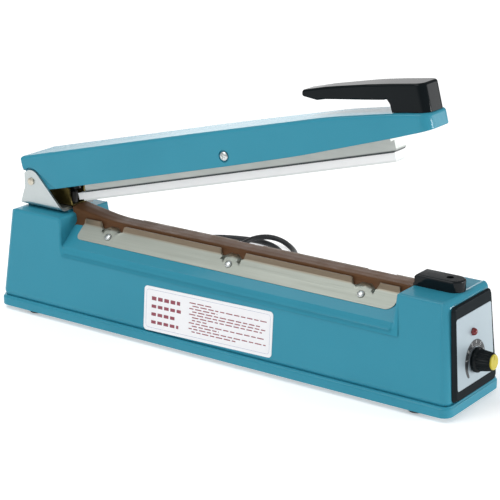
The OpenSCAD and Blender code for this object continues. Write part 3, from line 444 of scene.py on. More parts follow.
LEAN, END_LEAN = 7.8, 5.8


def side(z):
    return WIDTH / 2 - 1.2 - LEAN * (z - FLANGE) / (TOP - FLANGE)


def end(z):
    return 1.2 + END_LEAN * (z - FLANGE) / (TOP - FLANGE)


SLOPE = atan((RISER - BREAK) / (side(BREAK) - BED))


def slope_height(y):
    return RISER - (abs(y) - BED) * tan(SLOPE)


blue_paint = Finish("stoved_blue_paint", Specular_IOR_Level=0.1, Coat_Weight=0.3,
                    Coat_Roughness=0.08)
peel = blue_paint.grain(420, detail=2.0)
speck = blue_paint.grain(2600, detail=1.0)
tone = blue_paint.drift(blue_paint.grain(14, detail=2.0), (45, 134, 157), (53, 144, 167))
light_specks = blue_paint.spread(speck, 0.62, 0.8, 0, 0.35)
blue_paint.varies(Base_Color=blue_paint.mix(light_specks, tone, shade(68, 154, 178)))
blue_paint.rubbed(peel, 0.46, 0.56).bumped(peel * 0.8 + speck * 0.2, 0.00012, 0.35)


def casing_form(t, low):
    """The casing's shape from its low edge up, with every wall taken in by t"""
    def inner(z):
        return HINGE_BLOCK + 8 * (TOP - z) / (TOP - FLANGE) - t

    def outer(z):
        return DIAL_BLOCK - 5 * (TOP - z) / (TOP - FLANGE) + t
    drop = t / cos(SLOPE)
    bend, foot = BREAK - drop + t * tan(SLOPE), RISER - drop + t * tan(SLOPE)
    ridge, top = RIDGE - t, TOP - t
    near_end, far_end = end(top) + t, LENGTH - end(top) - t
    corners = []
    for s in (-1, 1):
        wall = {z: s * (side(z) - t) for z in (low, bend, top)}
        corners += [(end(low) + t, wall[low], low), (LENGTH - end(low) - t, wall[low], low),
                    (far_end, wall[top], top), (outer(top), wall[top], top),
                    (outer(bend), wall[bend], bend), (inner(bend), wall[bend], bend),
                    (inner(top), wall[top], top), (near_end, wall[top], top)]
        corners += [(x(z), s * (BED - t), z) for x, z in (
            (inner, foot), (inner, ridge), (outer, foot), (outer, ridge))]
    faces = [(0, 1, 2, 3, 4, 5, 6, 7), (12, 13, 14, 15, 16, 17, 18, 19), (0, 1, 13, 12),
             (1, 2, 14, 13), (0, 7, 19, 12), (2, 3, 15, 14), (6, 7, 19, 18), (9, 11, 23, 21)]
    for s in (0, 12):
        faces += [(5 + s, 4 + s, 10 + s, 8 + s), (8 + s, 10 + s, 11 + s, 9 + s)]
    faces += [(6, 5, 8, 9, 21, 20, 17, 18), (3, 4, 10, 11, 23, 22, 16, 15)]
    return mesh_of([spot(*c) for c in corners], faces)


def near(test):
    """Picks edges by a test of x, distance from the middle plane and z that both ends pass"""
    return lambda edge: all(test(v.co.x / MM + HALF_LENGTH, abs(v.co.y / MM), v.co.z / MM - FOOT)
                            for v in edge.verts)


def rim(height):
    """Picks the edges round a flat top at a height"""
    level = near(lambda x, y, z: abs(z - height) < 0.02)
    return lambda edge: level(edge) and sorted(
        abs(f.normal.z) < 0.9 for f in edge.link_faces) == [False, True]


def sharp(angle):
    """Picks the edges where two faces meet at more than an angle"""
    return lambda edge: len(edge.link_faces) == 2 and edge.calc_face_angle(0) > radians(angle)


def rounded(mesh, picked, width, steps, flat=None):
    """The mesh with some edges rounded; faces within the angle flat of each other join first"""
    form = bmesh.new()
    form.from_mesh(mesh)
    if flat:
        bmesh.ops.dissolve_limit(form, angle_limit=radians(flat), verts=form.verts,
                                 edges=form.edges)
    form.normal_update()
    bmesh.ops.bevel(form, geom=[e for e in form.edges if picked(e)], offset=width * MM,
                    segments=steps, profile=0.5, affect="EDGES", clamp_overlap=bool(flat))
    form.to_mesh(mesh)
    form.free()
    return mesh


def worked(mesh, kind, settings, inputs=()):
    """The mesh as one modifier leaves it"""
    work = linked("work", mesh)
    change = work.modifiers.new("change", kind)
    for label, value in settings.items():
        setattr(change, label, value)
    for label, value in inputs:
        change[label] = value
    whole = bpy.data.meshes.new_from_object(
        work.evaluated_get(bpy.context.evaluated_depsgraph_get()))
    bpy.data.objects.remove(work)
    return whole


def combined(mesh, operation, others):
    """The mesh after the others are joined to it or cut from it"""
    for other in others:
        tool = linked("tool", other)
        mesh = worked(mesh, "BOOLEAN", {"operation": operation, "object": tool, "solver": "EXACT"})
        bpy.data.objects.remove(tool)
    return mesh


def cut(mesh, *others):
    return combined(mesh, "DIFFERENCE", others)


def rod(at, along, r, start, stop, sides=32):
    """A round bar for drilling: it goes from start to stop along Y or Z through a point"""
    turn = {"Y": Matrix.Rotation(-pi / 2, 4, "X"), "Z": Matrix()}[along]
    return settled(turned([(r, start), (r, stop)], sides),
                   Matrix.Translation(spot(*at)) @ turn)


def block(x0, x1, y0, y1, z0, z1, put=spot):
    corners = [put(x, y, z) for z in (z0, z1)
               for x, y in ((x0, y0), (x1, y0), (x1, y1), (x0, y1))]
    return mesh_of(corners, [(0, 1, 2, 3), (4, 5, 6, 7), (0, 1, 5, 4), (1, 2, 6, 5),
                             (2, 3, 7, 6), (3, 0, 4, 7)])


def weighted(mesh, crease=38):
    """Smooth shading that keeps large flat faces flat beside small rounded ones"""
    mesh.shade_smooth()
    mesh.set_sharp_from_angle(angle=radians(crease))
    return worked(mesh, "WEIGHTED_NORMAL", {"keep_sharp": True, "weight": 80})


def flange_loop(z, t):
    far, corner = LENGTH - 8.2, 8.2
    return [spot(x, y, z) for x, y in round_corners(far, corner, 31.8, -31.8, corner - t, 10)]


shell = casing_form(0, LEDGE - 1)
shell = rounded(shell, near(lambda x, y, z: y > 30 and (x < 8 or x > LENGTH - 8)), 7, 8)
shell = rounded(shell, near(lambda x, y, z: y > 30 and z > 55
                            and (60 < x < 66 or 376 < x < 382)), 2.0, 4)
shell = rounded(shell, rim(TOP), 2.0, 4)
shell = rounded(shell, near(lambda x, y, z: y > 30.5 and 50 < z < 59 and 63 < x < 380), 3.2, 6)
flange = looped([flange_loop(z, t) for z, t in (
    (0, 0.4), (0.4, 0), (LEDGE - 1.4, 0), (LEDGE - 0.9, 0.07), (LEDGE - 0.45, 0.32),
    (LEDGE - 0.1, 0.72), (LEDGE + 0.1, 0.95), (LEDGE + 0.4, 1.06), (LEDGE + 1.0, 1.19))])
pedestal = rounded(block(12, 56, -13, 13, TOP - 1, TOP + 2), rim(TOP + 2), 0.6, 2)
shell = combined(shell, "UNION", [flange, pedestal])
STRIKER_X = 51
shell = cut(shell, casing_form(3, -1), rod((STRIKER_X, 0, 70), "Z", 3.6, 0, 20),
            block(68.5, 71.5, -2.5, 2.5, 70, 81))
fitted("casing", weighted(shell), blue_paint, "base", ["base_casing"], 0)

# Screws, used from here on: pressed steel pan heads with a cross recess, bright zinc. One head is
# set at every place by Geometry Nodes, turned at random about its own axis as driven screws are.

bright_zinc = plain("bright_zinc", (196, 202, 202), (228, 231, 230), 120, (500,), (0.2, 0.34),
                    Metallic=1.0)


def boxed(lengths, middle):
    """A box from its lengths and its middle, in the piece's own millimetres"""
    return block(*(middle[k] + s * lengths[k] / 2 for k in range(3) for s in (-1, 1)), put=mm)


pan_head = turned([(1.0, 0), (1.0, 0.16), (0.97, 0.28), (0.88, 0.41), (0.72, 0.52),
                   (0.5, 0.59), (0.25, 0.625), (0.02, 0.63)], 28)
cross = [boxed(size, (0, 0, 0.6)) for size in ((0.22, 1.15, 0.6), (1.15, 0.22, 0.6))]
pan_head = cut(pan_head, *cross)
head_object = bpy.data.objects.new("pan_head", pan_head)

head_tree = bpy.data.node_groups.new("screw_heads", "GeometryNodeTree")
for label, kind in (("Places", "Geometry"), ("Head", "Object"), ("Radius", "Float"),
                    ("Seed", "Int"), ("Finish", "Material")):
    head_tree.interface.new_socket(label, in_out="INPUT", socket_type="NodeSocket" + kind)
head_tree.interface.new_socket("Heads", in_out="OUTPUT", socket_type="NodeSocketGeometry")


def head_node(kind, sockets, out=0, **settings):
    return add_node(head_tree, kind, settings, sockets).outputs[out]


given = add_node(head_tree, "NodeGroupInput").outputs
facing = head_node("GeometryNodeInputNamedAttribute", {"Name": "facing"}, data_type="FLOAT_VECTOR")
stood = head_node("FunctionNodeAlignRotationToVector", {"Vector": facing}, axis="Z")
chance = head_node("FunctionNodeRandomValue", {"Seed": given["Seed"], 2: 0.0, 3: 3.1}, 1,
                   data_type="FLOAT")
spun = head_node("FunctionNodeAxisAngleToRotation", {"Angle": chance})
driven = head_node("FunctionNodeRotateRotation", {"Rotation": stood, "Rotate By": spun},
                   rotation_space="LOCAL")
proto = head_node("GeometryNodeObjectInfo", {"Object": given["Head"]}, "Geometry")
set_on = head_node("GeometryNodeInstanceOnPoints", {"Points": given["Places"], "Instance": proto,
                                                    "Rotation": driven, "Scale": given["Radius"]})
solid_heads = head_node("GeometryNodeRealizeInstances", {"Geometry": set_on})
coated = head_node("GeometryNodeSetMaterial", {"Geometry": solid_heads,
                                               "Material": given["Finish"]})
add_node(head_tree, "NodeGroupOutput", {}, {"Heads": coated})


def screws(name, places, radius, seed, body, stands_for, finish=bright_zinc):
    """A head at each (place in metres, direction it faces)"""
    mesh = bpy.data.meshes.new(name)
    mesh.from_pydata([tuple(p) for p, _ in places], [], [])
    facing = mesh.attributes.new("facing", "FLOAT_VECTOR", "POINT")
    for item, (_, way) in zip(facing.data, places):
        item.vector = way
    values = {"Head": head_object, "Radius": radius, "Seed": seed, "Finish": finish.material}
    inputs = [(item.identifier, values[item.name]) for item in head_tree.interface.items_tree
              if item.in_out == "INPUT" and item.name in values]
    bpy.context.scene.collection.objects.link(head_object)
    whole = worked(mesh, "NODES", {"node_group": head_tree}, inputs)
    bpy.context.scene.collection.objects.unlink(head_object)
    fitted(name, whole, finish, body, stands_for, 35)


UP = Vector((0, 0, 1))


def dress(finish, *nodes):
    """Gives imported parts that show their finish"""
    for node in nodes:
        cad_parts[node].data.materials[0] = finish.material


# The base's underside and label --------------------------------------------------------------
# A zinc-plated plate closes the bottom, on four rubber feet. A white sticker on the front wall has
# a thin border and rows of dashes, which stand for its printing and say nothing.

rubber = plain("foot_rubber", (24, 24, 25), (38, 38, 39), 300, Roughness=0.8)
rubber.bumped(rubber.grain(1800), 0.00008, 0.6)
plate_zinc = plain("rolled_zinc", (176, 182, 186), (206, 210, 211), 40, (160, (1, 12, 12)),
                   (0.3, 0.46), Metallic=1.0)
sticker = plain("sticker", (237, 237, 240), (243, 243, 245), 40, Roughness=0.32)
dress(plate_zinc, "bottom_plate")
dress(rubber, "foot_hinge_front", "foot_hinge_back", "foot_dial_front", "foot_dial_back")
dress(bright_zinc, "foot_screws")
dress(sticker, "rating_label")

LABEL_X, LABEL_Z = 215, 28.9
label_matrix = (Matrix.Translation(spot(LABEL_X, -side(LABEL_Z), LABEL_Z))
                @ Matrix.Rotation(pi / 2 - atan(LEAN / (TOP - FLANGE)), 4, "X")
                @ Matrix.Rotation(radians(1.2), 4, "Z"))


def stroke(x0, x1, y0, y1):
    return boxed((x1 - x0, y1 - y0, 0.02), ((x0 + x1) / 2, (y0 + y1) / 2, 0.33))


def dashes(x0, x1, y, half, length, step, more=lambda at: 0):
    """A row of printed dashes; more gives what is added to each one's length and step"""
    made, at = [], x0
    while at < x1:
        made.append(stroke(at, min(at + length + more(at), x1), y - half, y + half))
        at += step + more(at)
    return made


def printed(name, strokes, ink):
    fitted(name, settled(gathered(strokes), label_matrix), ink, "base")


border = [stroke(-57, 57, y - 0.12, y + 0.12) for y in (-15.4, 15.4)]
border += [stroke(x - 0.12, x + 0.12, -13, 13) for x in (-59.2, 59.2)]
for cx, cy, start in ((57, 13.2, 0), (-57, 13.2, 90), (-57, -13.2, 180), (57, -13.2, 270)):
    bend = [mm(x, y, 0.34) for r in (1.98, 2.2) for x, y in arc(cx, cy, r, start, 90, 6)]
    border.append(mesh_of(bend, [(k, k + 1, k + 8, k + 7) for k in range(6)], False))
printed("label_border", border,
        plain("border_ink", (150, 160, 190), (175, 182, 204), 300, Roughness=0.4))

rows = []
for k, (x1, half) in enumerate(((-26, 1.5), (-25, 1.3), (-31, 1.3), (-27, 1.3))):
    rows += dashes(-54, x1, 8.6 - 6.4 * k, half, 4.6, 6.2)
for k, (x0, x1) in enumerate(((-17, 4), (-14, 56), (-17, 10), (-14, 50), (-17, 55), (-14, 52),
                              (-14, 0), (-17, 54), (-14, 12), (-17, 56), (-14, 28))):
    rows += dashes(x0, x1, 11.4 - 2.28 * k, 0.42, 3.1, 4.6, lambda at: (k * 5 + int(at)) % 4)
printed("label_ruled_lines", rows,
        plain("label_ink", (126, 48, 66), (160, 84, 98), 700, Roughness=0.45))

# The bed -------------------------------------------------------------------------------------
# A strip of insulating board lies on the casting's ridge and carries the heating ribbon. A brown
# coated glass cloth covers both, and two long aluminium plates with a turned-up lip clamp it.


def stations(row):
    """How far along its own line each point of a row lies, in metres"""
    far = [0.0]
    for a, b in zip(row, row[1:]):
        far.append(far[-1] + (Vector(b) - Vector(a)).length)
    return far


def grid(rows, thickness, uv=True):
    """A sheet through rows of points in metres, with its own UV in metres"""
    wide, tall = len(rows[0]), len(rows)
    mesh = mesh_of([p for row in rows for p in row],
                   [(j * wide + i, j * wide + i + 1, (j + 1) * wide + i + 1, (j + 1) * wide + i)
                    for j in range(tall - 1) for i in range(wide - 1)], False)
    if uv:
        across, along = stations(rows[tall // 2]), stations([row[wide // 2] for row in rows])
        layer = mesh.uv_layers.new(name="cloth")
        for loop in mesh.loops:
            j, i = divmod(loop.vertex_index, wide)
            layer.data[loop.index].uv = (along[j], across[i])
    return worked(mesh, "SOLIDIFY", {"thickness": thickness * MM, "offset": 0,
                                     "use_even_offset": True})


def wave(x, seed):
    """A small slow unevenness from -1 to 1"""
    return (0.5 * sin(x * 0.071 + seed) + 0.3 * sin(x * 0.163 + 2.1 * seed)
            + 0.2 * sin(x * 0.31 + 0.7 * seed))


board = Finish("insulating_board", Roughness=0.7)
board.toned(board.grain(200, (1, 6, 6)), (186, 160, 116), (206, 184, 142))
ribbon = plain("heating_ribbon", (150, 142, 132), (182, 172, 158), 90, (300,), (0.3, 0.45),
               Metallic=1.0)
dress(board, "bed_board")
dress(ribbon, "heating_ribbon")

cloth = Finish("coated_glass_cloth", Specular_IOR_Level=0.06)
thread_map = cloth.node("UVMap", {"uv_map": "cloth"})
warp, weft = (cloth.node("TexWave", {"bands_direction": way},
                         {"Vector": thread_map, "Scale": 420.0, "Distortion": 0.4}) for way in "XY")
streak = cloth.grain(26, (0.35, 2.6, 2.6), detail=4)
blotch = cloth.grain(75, detail=3)
tan_brown = cloth.drift(cloth.spread(streak, 0.32, 0.68, 0, 1), (162, 101, 50), (190, 126, 68))
tan_brown = cloth.mix(cloth.spread(blotch, 0.55, 0.75, 0, 0.55), tan_brown, shade(184, 148, 112))
# Painted shade: away from the middle, under the clamp plates, the cloth is darkened to near black.
off_middle = cloth.node("SeparateXYZ", {}, {0: cloth.place()}, 1).maths("ABSOLUTE")
painted_shade_under_plates = cloth.spread(off_middle, 0.0098, 0.0106, 0, 0.8)
tan_brown = cloth.mix(painted_shade_under_plates, tan_brown, shade(42, 40, 38))
cloth.varies(Base_Color=cloth.mix(warp * weft * 0.3, tan_brown, shade(104, 74, 54)))
cloth.rubbed(blotch, 0.34, 0.5).bumped(warp * 0.5 + weft * 0.5, 0.00005, 0.5)

CLOTH_TOP, CLOTH_THICK = 81.56, 0.16
CLOTH_FROM, CLOTH_TO = 64.2, 378.4
END_FROM, END_TO = 58.2, 108.0


def cloth_row(x, lift=0.0, spread=0.0):
    """The cloth's line across the bed at x: up the front slope, over the ribbon, down the back"""
    half = [(y, slope_height(y) + 0.24 / cos(SLOPE)) for y in (20.9, 18.0, 15.0, 12.0, 10.2)]
    foot = slope_height(9.1) + 0.3
    top = CLOTH_TOP + 0.05 * wave(x, 1.3) + lift
    half += [(9.3 + 0.3 * spread, foot + 0.25 + 0.1 * lift),
             (8.86 + 0.55 * spread, foot + 0.9 + 0.2 * lift),
             (8.8 + 0.6 * spread, (foot + top) / 2), (8.78 + 0.35 * spread, top - 0.75),
             (8.45 + 0.2 * spread, top - 0.22), (7.9, top), (5.5, top - 0.05 + 0.05 * lift),
             (3.0, top - 0.05 + 0.1 * lift), (1.4, top + 0.02 + 0.12 * lift)]
    line = [(-y, z) for y, z in half] + [(0, top + 0.08 + 0.12 * lift)]
    line += reversed(half)
    return [spot(x + (0.35 * wave(8 * z, 2) if lift else 0), y + 0.04 * wave(x + 9 * y, 0.4), z)
            for y, z in line]


cloth_rows = [cloth_row(END_TO + (CLOTH_TO - END_TO) * k / 90) for k in range(91)]
cloth_main = fitted("sealing_cloth", grid(cloth_rows, CLOTH_THICK), cloth, "base",
                    ["ptfe_sheet"], 45)


def swell(x):
    """How far the loose hinge end of the cloth stands off the bed"""
    t = clamp((x - 60) / (END_TO - 60))
    return 5.2 * (1 - t) ** 2 * (1 + 1.2 * t)


end_rows = []
for k in range(41):
    x = END_FROM + (END_TO + 0.3 - END_FROM) * k / 40
    row_x = max(x, CLOTH_FROM)
    row = cloth_row(row_x, swell(x), swell(x) / 2.2)
    if x < CLOTH_FROM + 4:
        back = (CLOTH_FROM + 4 - x) / (CLOTH_FROM + 4 - END_FROM)
        up = [clamp((p.z / MM - FOOT - 70) / 14) for p in row]
        row = [p + mm(-(row_x - x) * u ** 1.5, 0, 0.9 * back * back * u) for p, u in zip(row, up)]
    end_rows.append(row)
cloth_end = fitted("sealing_cloth_end", grid(end_rows, CLOTH_THICK), cloth,
                   "base", [], 50)

mill = Finish("mill_aluminium", Metallic=0.85)
lines = mill.grain(150, (0.06, 6, 6), detail=3)
smear = mill.grain(22, (0.6, 2, 2), detail=3)
# Painted reflection of the cloth and painted shade: above a height, on the bend and lip, the plate
# is darker and brown.
height = mill.node("SeparateXYZ", {}, {0: mill.place()}, 2)
lip_painted_reflection = mill.spread(height, 0.0785, 0.0800, 0, 1)
mill.varies(Base_Color=mill.mix(lip_painted_reflection, mill.drift(smear, (141, 146, 138), (158, 162, 154)),
                                mill.drift(smear, (122, 109, 92), (142, 128, 110))))
mill.rubbed(lines, 0.38, 0.52).bumped(lines, 0.00004, 0.5)

PLATE_SCREWS = (102.5, 222.5, 342.5)
PLATE_FROM, PLATE_TO, PLATE_LOW = 72.5, 372.5, 23.1
PLATE_THICK, LIP_TOP, BEND_R = 1.1, 80.5, 1.3


def plate_row(x, s):
    """Across one clamp plate at x: from its low edge up the slope, round the bend and up the lip"""
    gap = min(abs(x - at) for at in PLATE_SCREWS)
    ends = smooth_step((x - PLATE_FROM) / 2 + 0.25) * smooth_step((PLATE_TO - x) / 2 + 0.25)
    lip = smooth_step((gap - 10) / 2.2) * ends
    tab = 16.8 - sqrt(max(9.4 ** 2 - gap ** 2, 0)) * cos(SLOPE)
    slot = 11.3 + 1.1 * (1 - smooth_step((gap - 8.6) / 4))
    inner = max(min(tab, slot), 10.0)
    low = 0.0
    for away, r in ((x - PLATE_FROM, 5.0), (PLATE_TO - x, 7.0)):
        if away < r:
            low = r - sqrt(max(r * r - (r - away) ** 2, 0))
    off = 0.45 + 0.6
    edge = PLATE_LOW - low * cos(SLOPE)
    flat = [edge + (inner - edge) * k / 5 for k in range(6)]
    line = [(y + off * sin(SLOPE), slope_height(y) + off * cos(SLOPE)) for y in flat]
    y0, z0 = line[-1]
    for k in range(1, 5):
        a = (pi / 2 - SLOPE) * k / 4
        y1 = y0 - BEND_R * (cos(SLOPE) * sin(a) - sin(SLOPE) * (1 - cos(a))) * lip
        z1 = z0 + BEND_R * (sin(SLOPE) * sin(a) + cos(SLOPE) * (1 - cos(a))) * lip
        line.append((y1, z1))
    line += [(y1, z1 + max(LIP_TOP - z1, 0.02) * lip * k / 3 + 0.005 * k) for k in range(1, 4)]
    return [spot(x, s * y, z + 0.04 * wave(x, s)) for y, z in line]


plate_x = [PLATE_FROM + 7 * (k / 14) ** 2 for k in range(14)]
plate_x += [PLATE_FROM + 7 + (PLATE_TO - PLATE_FROM - 14) * k / 190 for k in range(191)]
plate_x += [PLATE_TO - 7 * (1 - k / 14) ** 2 for k in range(1, 15)]
for s, name in ((-1, "clamp_plate_front"), (1, "clamp_plate_back")):
    sheet = grid([plate_row(x, s) for x in plate_x], PLATE_THICK, uv=False)
    fitted(name + "_dressed", sheet, mill, "base", [name], 35)

out = {s: Vector((0, s * sin(SLOPE), cos(SLOPE))) for s in (-1, 1)}
plate_heads = [(spot(x, s * 17.2, slope_height(17.2)) + 1.7 * MM * out[s], out[s])
               for x in PLATE_SCREWS for s in (-1, 1)]
screws("clamp_screws", plate_heads, 3.0, 4, "base", ["plate_screws"])

# The ribbon's terminals ----------------------------------------------------------------------
# At the dial end the ribbon goes under a black moulded cover, held by one sunk screw, on a base of
# the same moulding. At the hinge end a sprung brass slide keeps it tight.

moulding = plain("black_moulding", (13, 18, 21), (22, 27, 30), 50, (1300, EVEN, 2), (0.3, 0.44),
                 (0.00004, 0.5), Specular_IOR_Level=0.0, Coat_Weight=0.45, Coat_Roughness=0.08)
COVER_SCREW = (406, 0, 87)


def cover_loop(z, t):
    outline = arc(409.5, 0, 8.5 - t, -90, 180, 20)
    for y, start in ((6.7, 90), (-6.7, 180)):
        outline += arc(382.4, y, 1.8 - t, start, 90, 5)
    return [spot(x, y, z) for x, y in outline]


COVER_EDGE = 1.5
cover = looped([cover_loop(85.02, 0.1)] + [
    cover_loop(90.1 + COVER_EDGE * sin(a), COVER_EDGE * (1 - cos(a)))
    for a in (radians(18 * k) for k in range(6))])
ramp = mesh_of([spot(x, y, z) for y in (-12, 12)
                for x, z in ((379.5, 95), (379.5, 88.3), (384.2, 93))],
               [(0, 1, 2), (3, 4, 5), (0, 1, 4, 3), (1, 2, 5, 4), (2, 0, 3, 5)])
cover = cut(cover, ramp, rod(COVER_SCREW, "Z", 2.8, 0, 8, 28),
            block(380, 394.3, -1.1, 1.1, 84, 85.3))
fitted("terminal_cover_moulded", weighted(cover, 44), moulding, "base",
       ["terminal_cover"], 0)
dark_steel = plain("blackened_steel", (60, 60, 62), (92, 92, 94), 300, (600,), (0.32, 0.5),
                   Metallic=1.0)
screws("cover_screw_head", [(spot(*COVER_SCREW), UP)], 2.5, 2, "base", ["cover_screw"], dark_steel)
spring_wire = plain("spring_wire", (120, 118, 112), (158, 156, 150), 400, (800,), (0.25, 0.4),
                    Metallic=1.0)
dress(moulding, "terminal_base")
dress(brass, "ribbon_tensioner")
dress(spring_wire, "tension_spring")
spot(0, 0, 81.68)
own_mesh(cloth_end)

# The dial end --------------------------------------------------------------------------------
# A dark moulded frame holds a satin metal plate with the timer's scale. A red lamp sits above the
# scale. The knob turns through three quarters of a turn; its yellow cap has a pointer line.

end_lean = atan(END_LEAN / (TOP - FLANGE))
dial_wall = Matrix.Translation(spot(LENGTH - end(45), 0, 45)) @ Matrix((
    (0, -sin(end_lean), cos(end_lean), 0), (1, 0, 0, 0), (0, cos(end_lean), sin(end_lean), 0),
    (0, 0, 0, 1)))
KNOB, LAMP = (-0.5, -11.334), (-2.3, 10.331)


def panel_loop(sides, r, h, t=0.0):
    """Four sides with round corners; sides gives the half width and the place up the wall at the
    top and at the low edge"""
    r = max(r - t, 0.2)
    (top_w, top), (low_w, low) = sides
    corners = ((top_w - t - r, top - t - r), (r - top_w + t, top - t - r),
               (r - low_w + t, low + t + r), (low_w - t - r, low + t + r))
    return [mm(v, u, h) for k, (cx, cy) in enumerate(corners)
            for v, u in arc(cx, cy, r, 90 * k, 90, 8)]


def on_panel(mesh, at=(0, 0)):
    return settled(mesh, dial_wall @ Matrix.Translation(mm(*at, 0)))


def drilled(mesh, crease):
    """The mesh with the openings for the knob and the lamp"""
    return weighted(cut(mesh, *(
        settled(turned([(r, -3), (r, 6)], 40), Matrix.Translation(mm(*at, 0)))
        for at, r in ((KNOB, 6.6), (LAMP, 2.4)))), crease)


frame_black = plain("frame_moulding", (20, 27, 31), (28, 35, 38), 60, (1100, EVEN, 2), (0.42, 0.55),
                    (0.00006, 0.6), Specular_IOR_Level=0.0, Coat_Weight=0.15, Coat_Roughness=0.14)
FOOT_SIDES, FACE_SIDES = ((29, 34.8), (32.8, -35.4)), ((26.9, 34.2), (29.8, -34.8))
SUNK_SIDES = ((26, 25.6), (27.4, -28.1))
frame_mesh = looped([panel_loop(*ring) for ring in (
    (FOOT_SIDES, 4, 0), (FOOT_SIDES, 4, 0.35), (FOOT_SIDES, 4, 0.75, 0.22),
    (FOOT_SIDES, 4, 1.05, 0.7), (((27.6, 34.3), (30.5, -34.9)), 4, 1.5),
    (((27.15, 34.25), (30.05, -34.85)), 4, 1.95, 0.05), (FACE_SIDES, 4, 2.25, 0.3),
    (FACE_SIDES, 4, 2.4, 0.8), (SUNK_SIDES, 2.4, 2.4, -0.45), (SUNK_SIDES, 2.1, 2.3, -0.12),
    (SUNK_SIDES, 2, 2.1), (SUNK_SIDES, 2, 1.5))])
fitted("panel_frame_moulded", on_panel(drilled(frame_mesh, 50)), frame_black, "base",
       ["panel_frame"], 0)

satin = plain("satin_plate", (158, 173, 181), (174, 187, 194), 26, (90, (1, 0.15, 0.15), 4),
              (0.3, 0.44), Metallic=0.35)
plate_mesh = looped([panel_loop(SUNK_SIDES, 2, h, t)
                     for h, t in ((1.5, 0.1), (2.15, 0.1), (2.25, 0.2))])
fitted("panel_plate_satin", on_panel(drilled(plate_mesh, 40)), satin, "base",
       ["panel_plate"], 0)

PRINT = 2.27


def ring_point(r, angle):
    a = radians(angle)
    return mm(KNOB[0] + r * cos(a), KNOB[1] + r * sin(a), PRINT)


scale_black = plain("scale_black", (30, 34, 38), (44, 48, 52), 200, Roughness=0.35)
crescent = []
for k in range(91):
    angle = 230 - 278 * k / 90
    grown = smooth_step((230 - angle) / 70)
    full, middle = 2.6 + 3.0 * grown, 12.2 + 2.4 * (1 - grown)
    width = full * (min(sqrt(k / 3), 1) if k < 86 else sqrt(max(1 - ((k - 85) / 5) ** 2, 0)))
    crescent += [ring_point(max(middle - width / 2, 9.6), angle),
                 ring_point(middle + width / 2, angle)]
scale_mesh = mesh_of(crescent, [(2 * k, 2 * k + 1, 2 * k + 3, 2 * k + 2)
                                for k in range(90)], False)
fitted("dial_scale", on_panel(scale_mesh), scale_black, "base")

GLYPHS = (
    [(0.2, 1.6), (0.5, 2), (0.5, 0)],
    [(0, 1.6), (0.25, 2), (0.8, 2), (1, 1.6), (1, 1.25), (0, 0), (1, 0)],
    [(0, 1.8), (0.3, 2), (0.8, 1.95), (1, 1.55), (0.8, 1.1), (0.4, 1.05), (0.8, 1.0), (1, 0.55),
     (0.8, 0.08), (0.3, 0), (0, 0.2)],
    [(0.75, 0), (0.75, 2), (0, 0.6), (1, 0.6)],
    [(0.95, 2), (0.15, 2), (0.1, 1.15), (0.6, 1.3), (1, 0.9), (0.95, 0.3), (0.6, 0), (0, 0.15)],
    [(0.9, 1.9), (0.4, 1.75), (0.05, 1), (0.05, 0.4), (0.4, 0), (0.8, 0.1), (1, 0.6), (0.7, 1.1),
     (0.1, 0.9)],
    [(0, 2), (1, 2), (0.4, 0)],
    [(0.5, 1.1), (0.1, 1.5), (0.5, 2), (0.9, 1.5), (0.5, 1.1), (0, 0.55), (0.5, 0), (1, 0.55),
     (0.5, 1.1)])


def ribbon_mark(points, width):
    """A flat printed line of a width along points in panel millimetres"""
    corners, faces, h = [], [], PRINT + 0.02
    for a, b in zip(points, points[1:]):
        a, b = Vector((*a, h)), Vector((*b, h))
        along = (b - a).normalized() * width / 2
        cross = Vector((-along.y, along.x, 0))
        n = len(corners)
        corners += [p * MM for p in (a - along + cross, a - along - cross, b + along - cross,
                                     b + along + cross)]
        faces.append((n, n + 1, n + 2, n + 3))
    return mesh_of(corners, faces, False)


def spoke(angle):
    return Vector((cos(radians(angle)), sin(radians(angle))))


scale_white = plain("scale_white", (205, 210, 212), (222, 226, 226), 300, Roughness=0.4)
marks = []
for k, strokes in enumerate(GLYPHS):
    angle = 168 - 208 * k / 7
    turn = Matrix.Rotation(radians(angle - 90), 2)
    middle = Vector(KNOB) + 13.0 * spoke(angle)
    marks.append(ribbon_mark([middle + turn @ Vector(((x - 0.5) * 1.3, (y - 1) * 1.15))
                              for x, y in strokes], 0.3))
for k in range(36):
    tip, width = (11.1, 0.22) if k % 5 == 0 else (10.8, 0.14)
    marks.append(ribbon_mark([Vector(KNOB) + r * spoke(168 - 208 * k / 35) for r in (10.2, tip)],
                             width))
fitted("dial_marks", on_panel(gathered(marks)), scale_white, "base")

lens_red = plain("lens_red", (94, 6, 12), (126, 12, 20), 600, Specular_IOR_Level=0.2,
                 Coat_Weight=1.0, Coat_Roughness=0.05, Roughness=0.25)
lens_profile = [(2.3, -4.5), (2.3, 2.25), (2.75, 2.25), (2.9, 2.35), (2.9, 2.8), (2.8, 2.95)]
lens_profile += arc(0.01, 2.95, 2.8, 9, 81, 9)
fitted("lamp_lens_red", on_panel(turned(lens_profile, 36), LAMP), lens_red, "base",
       ["lamp_lens"])

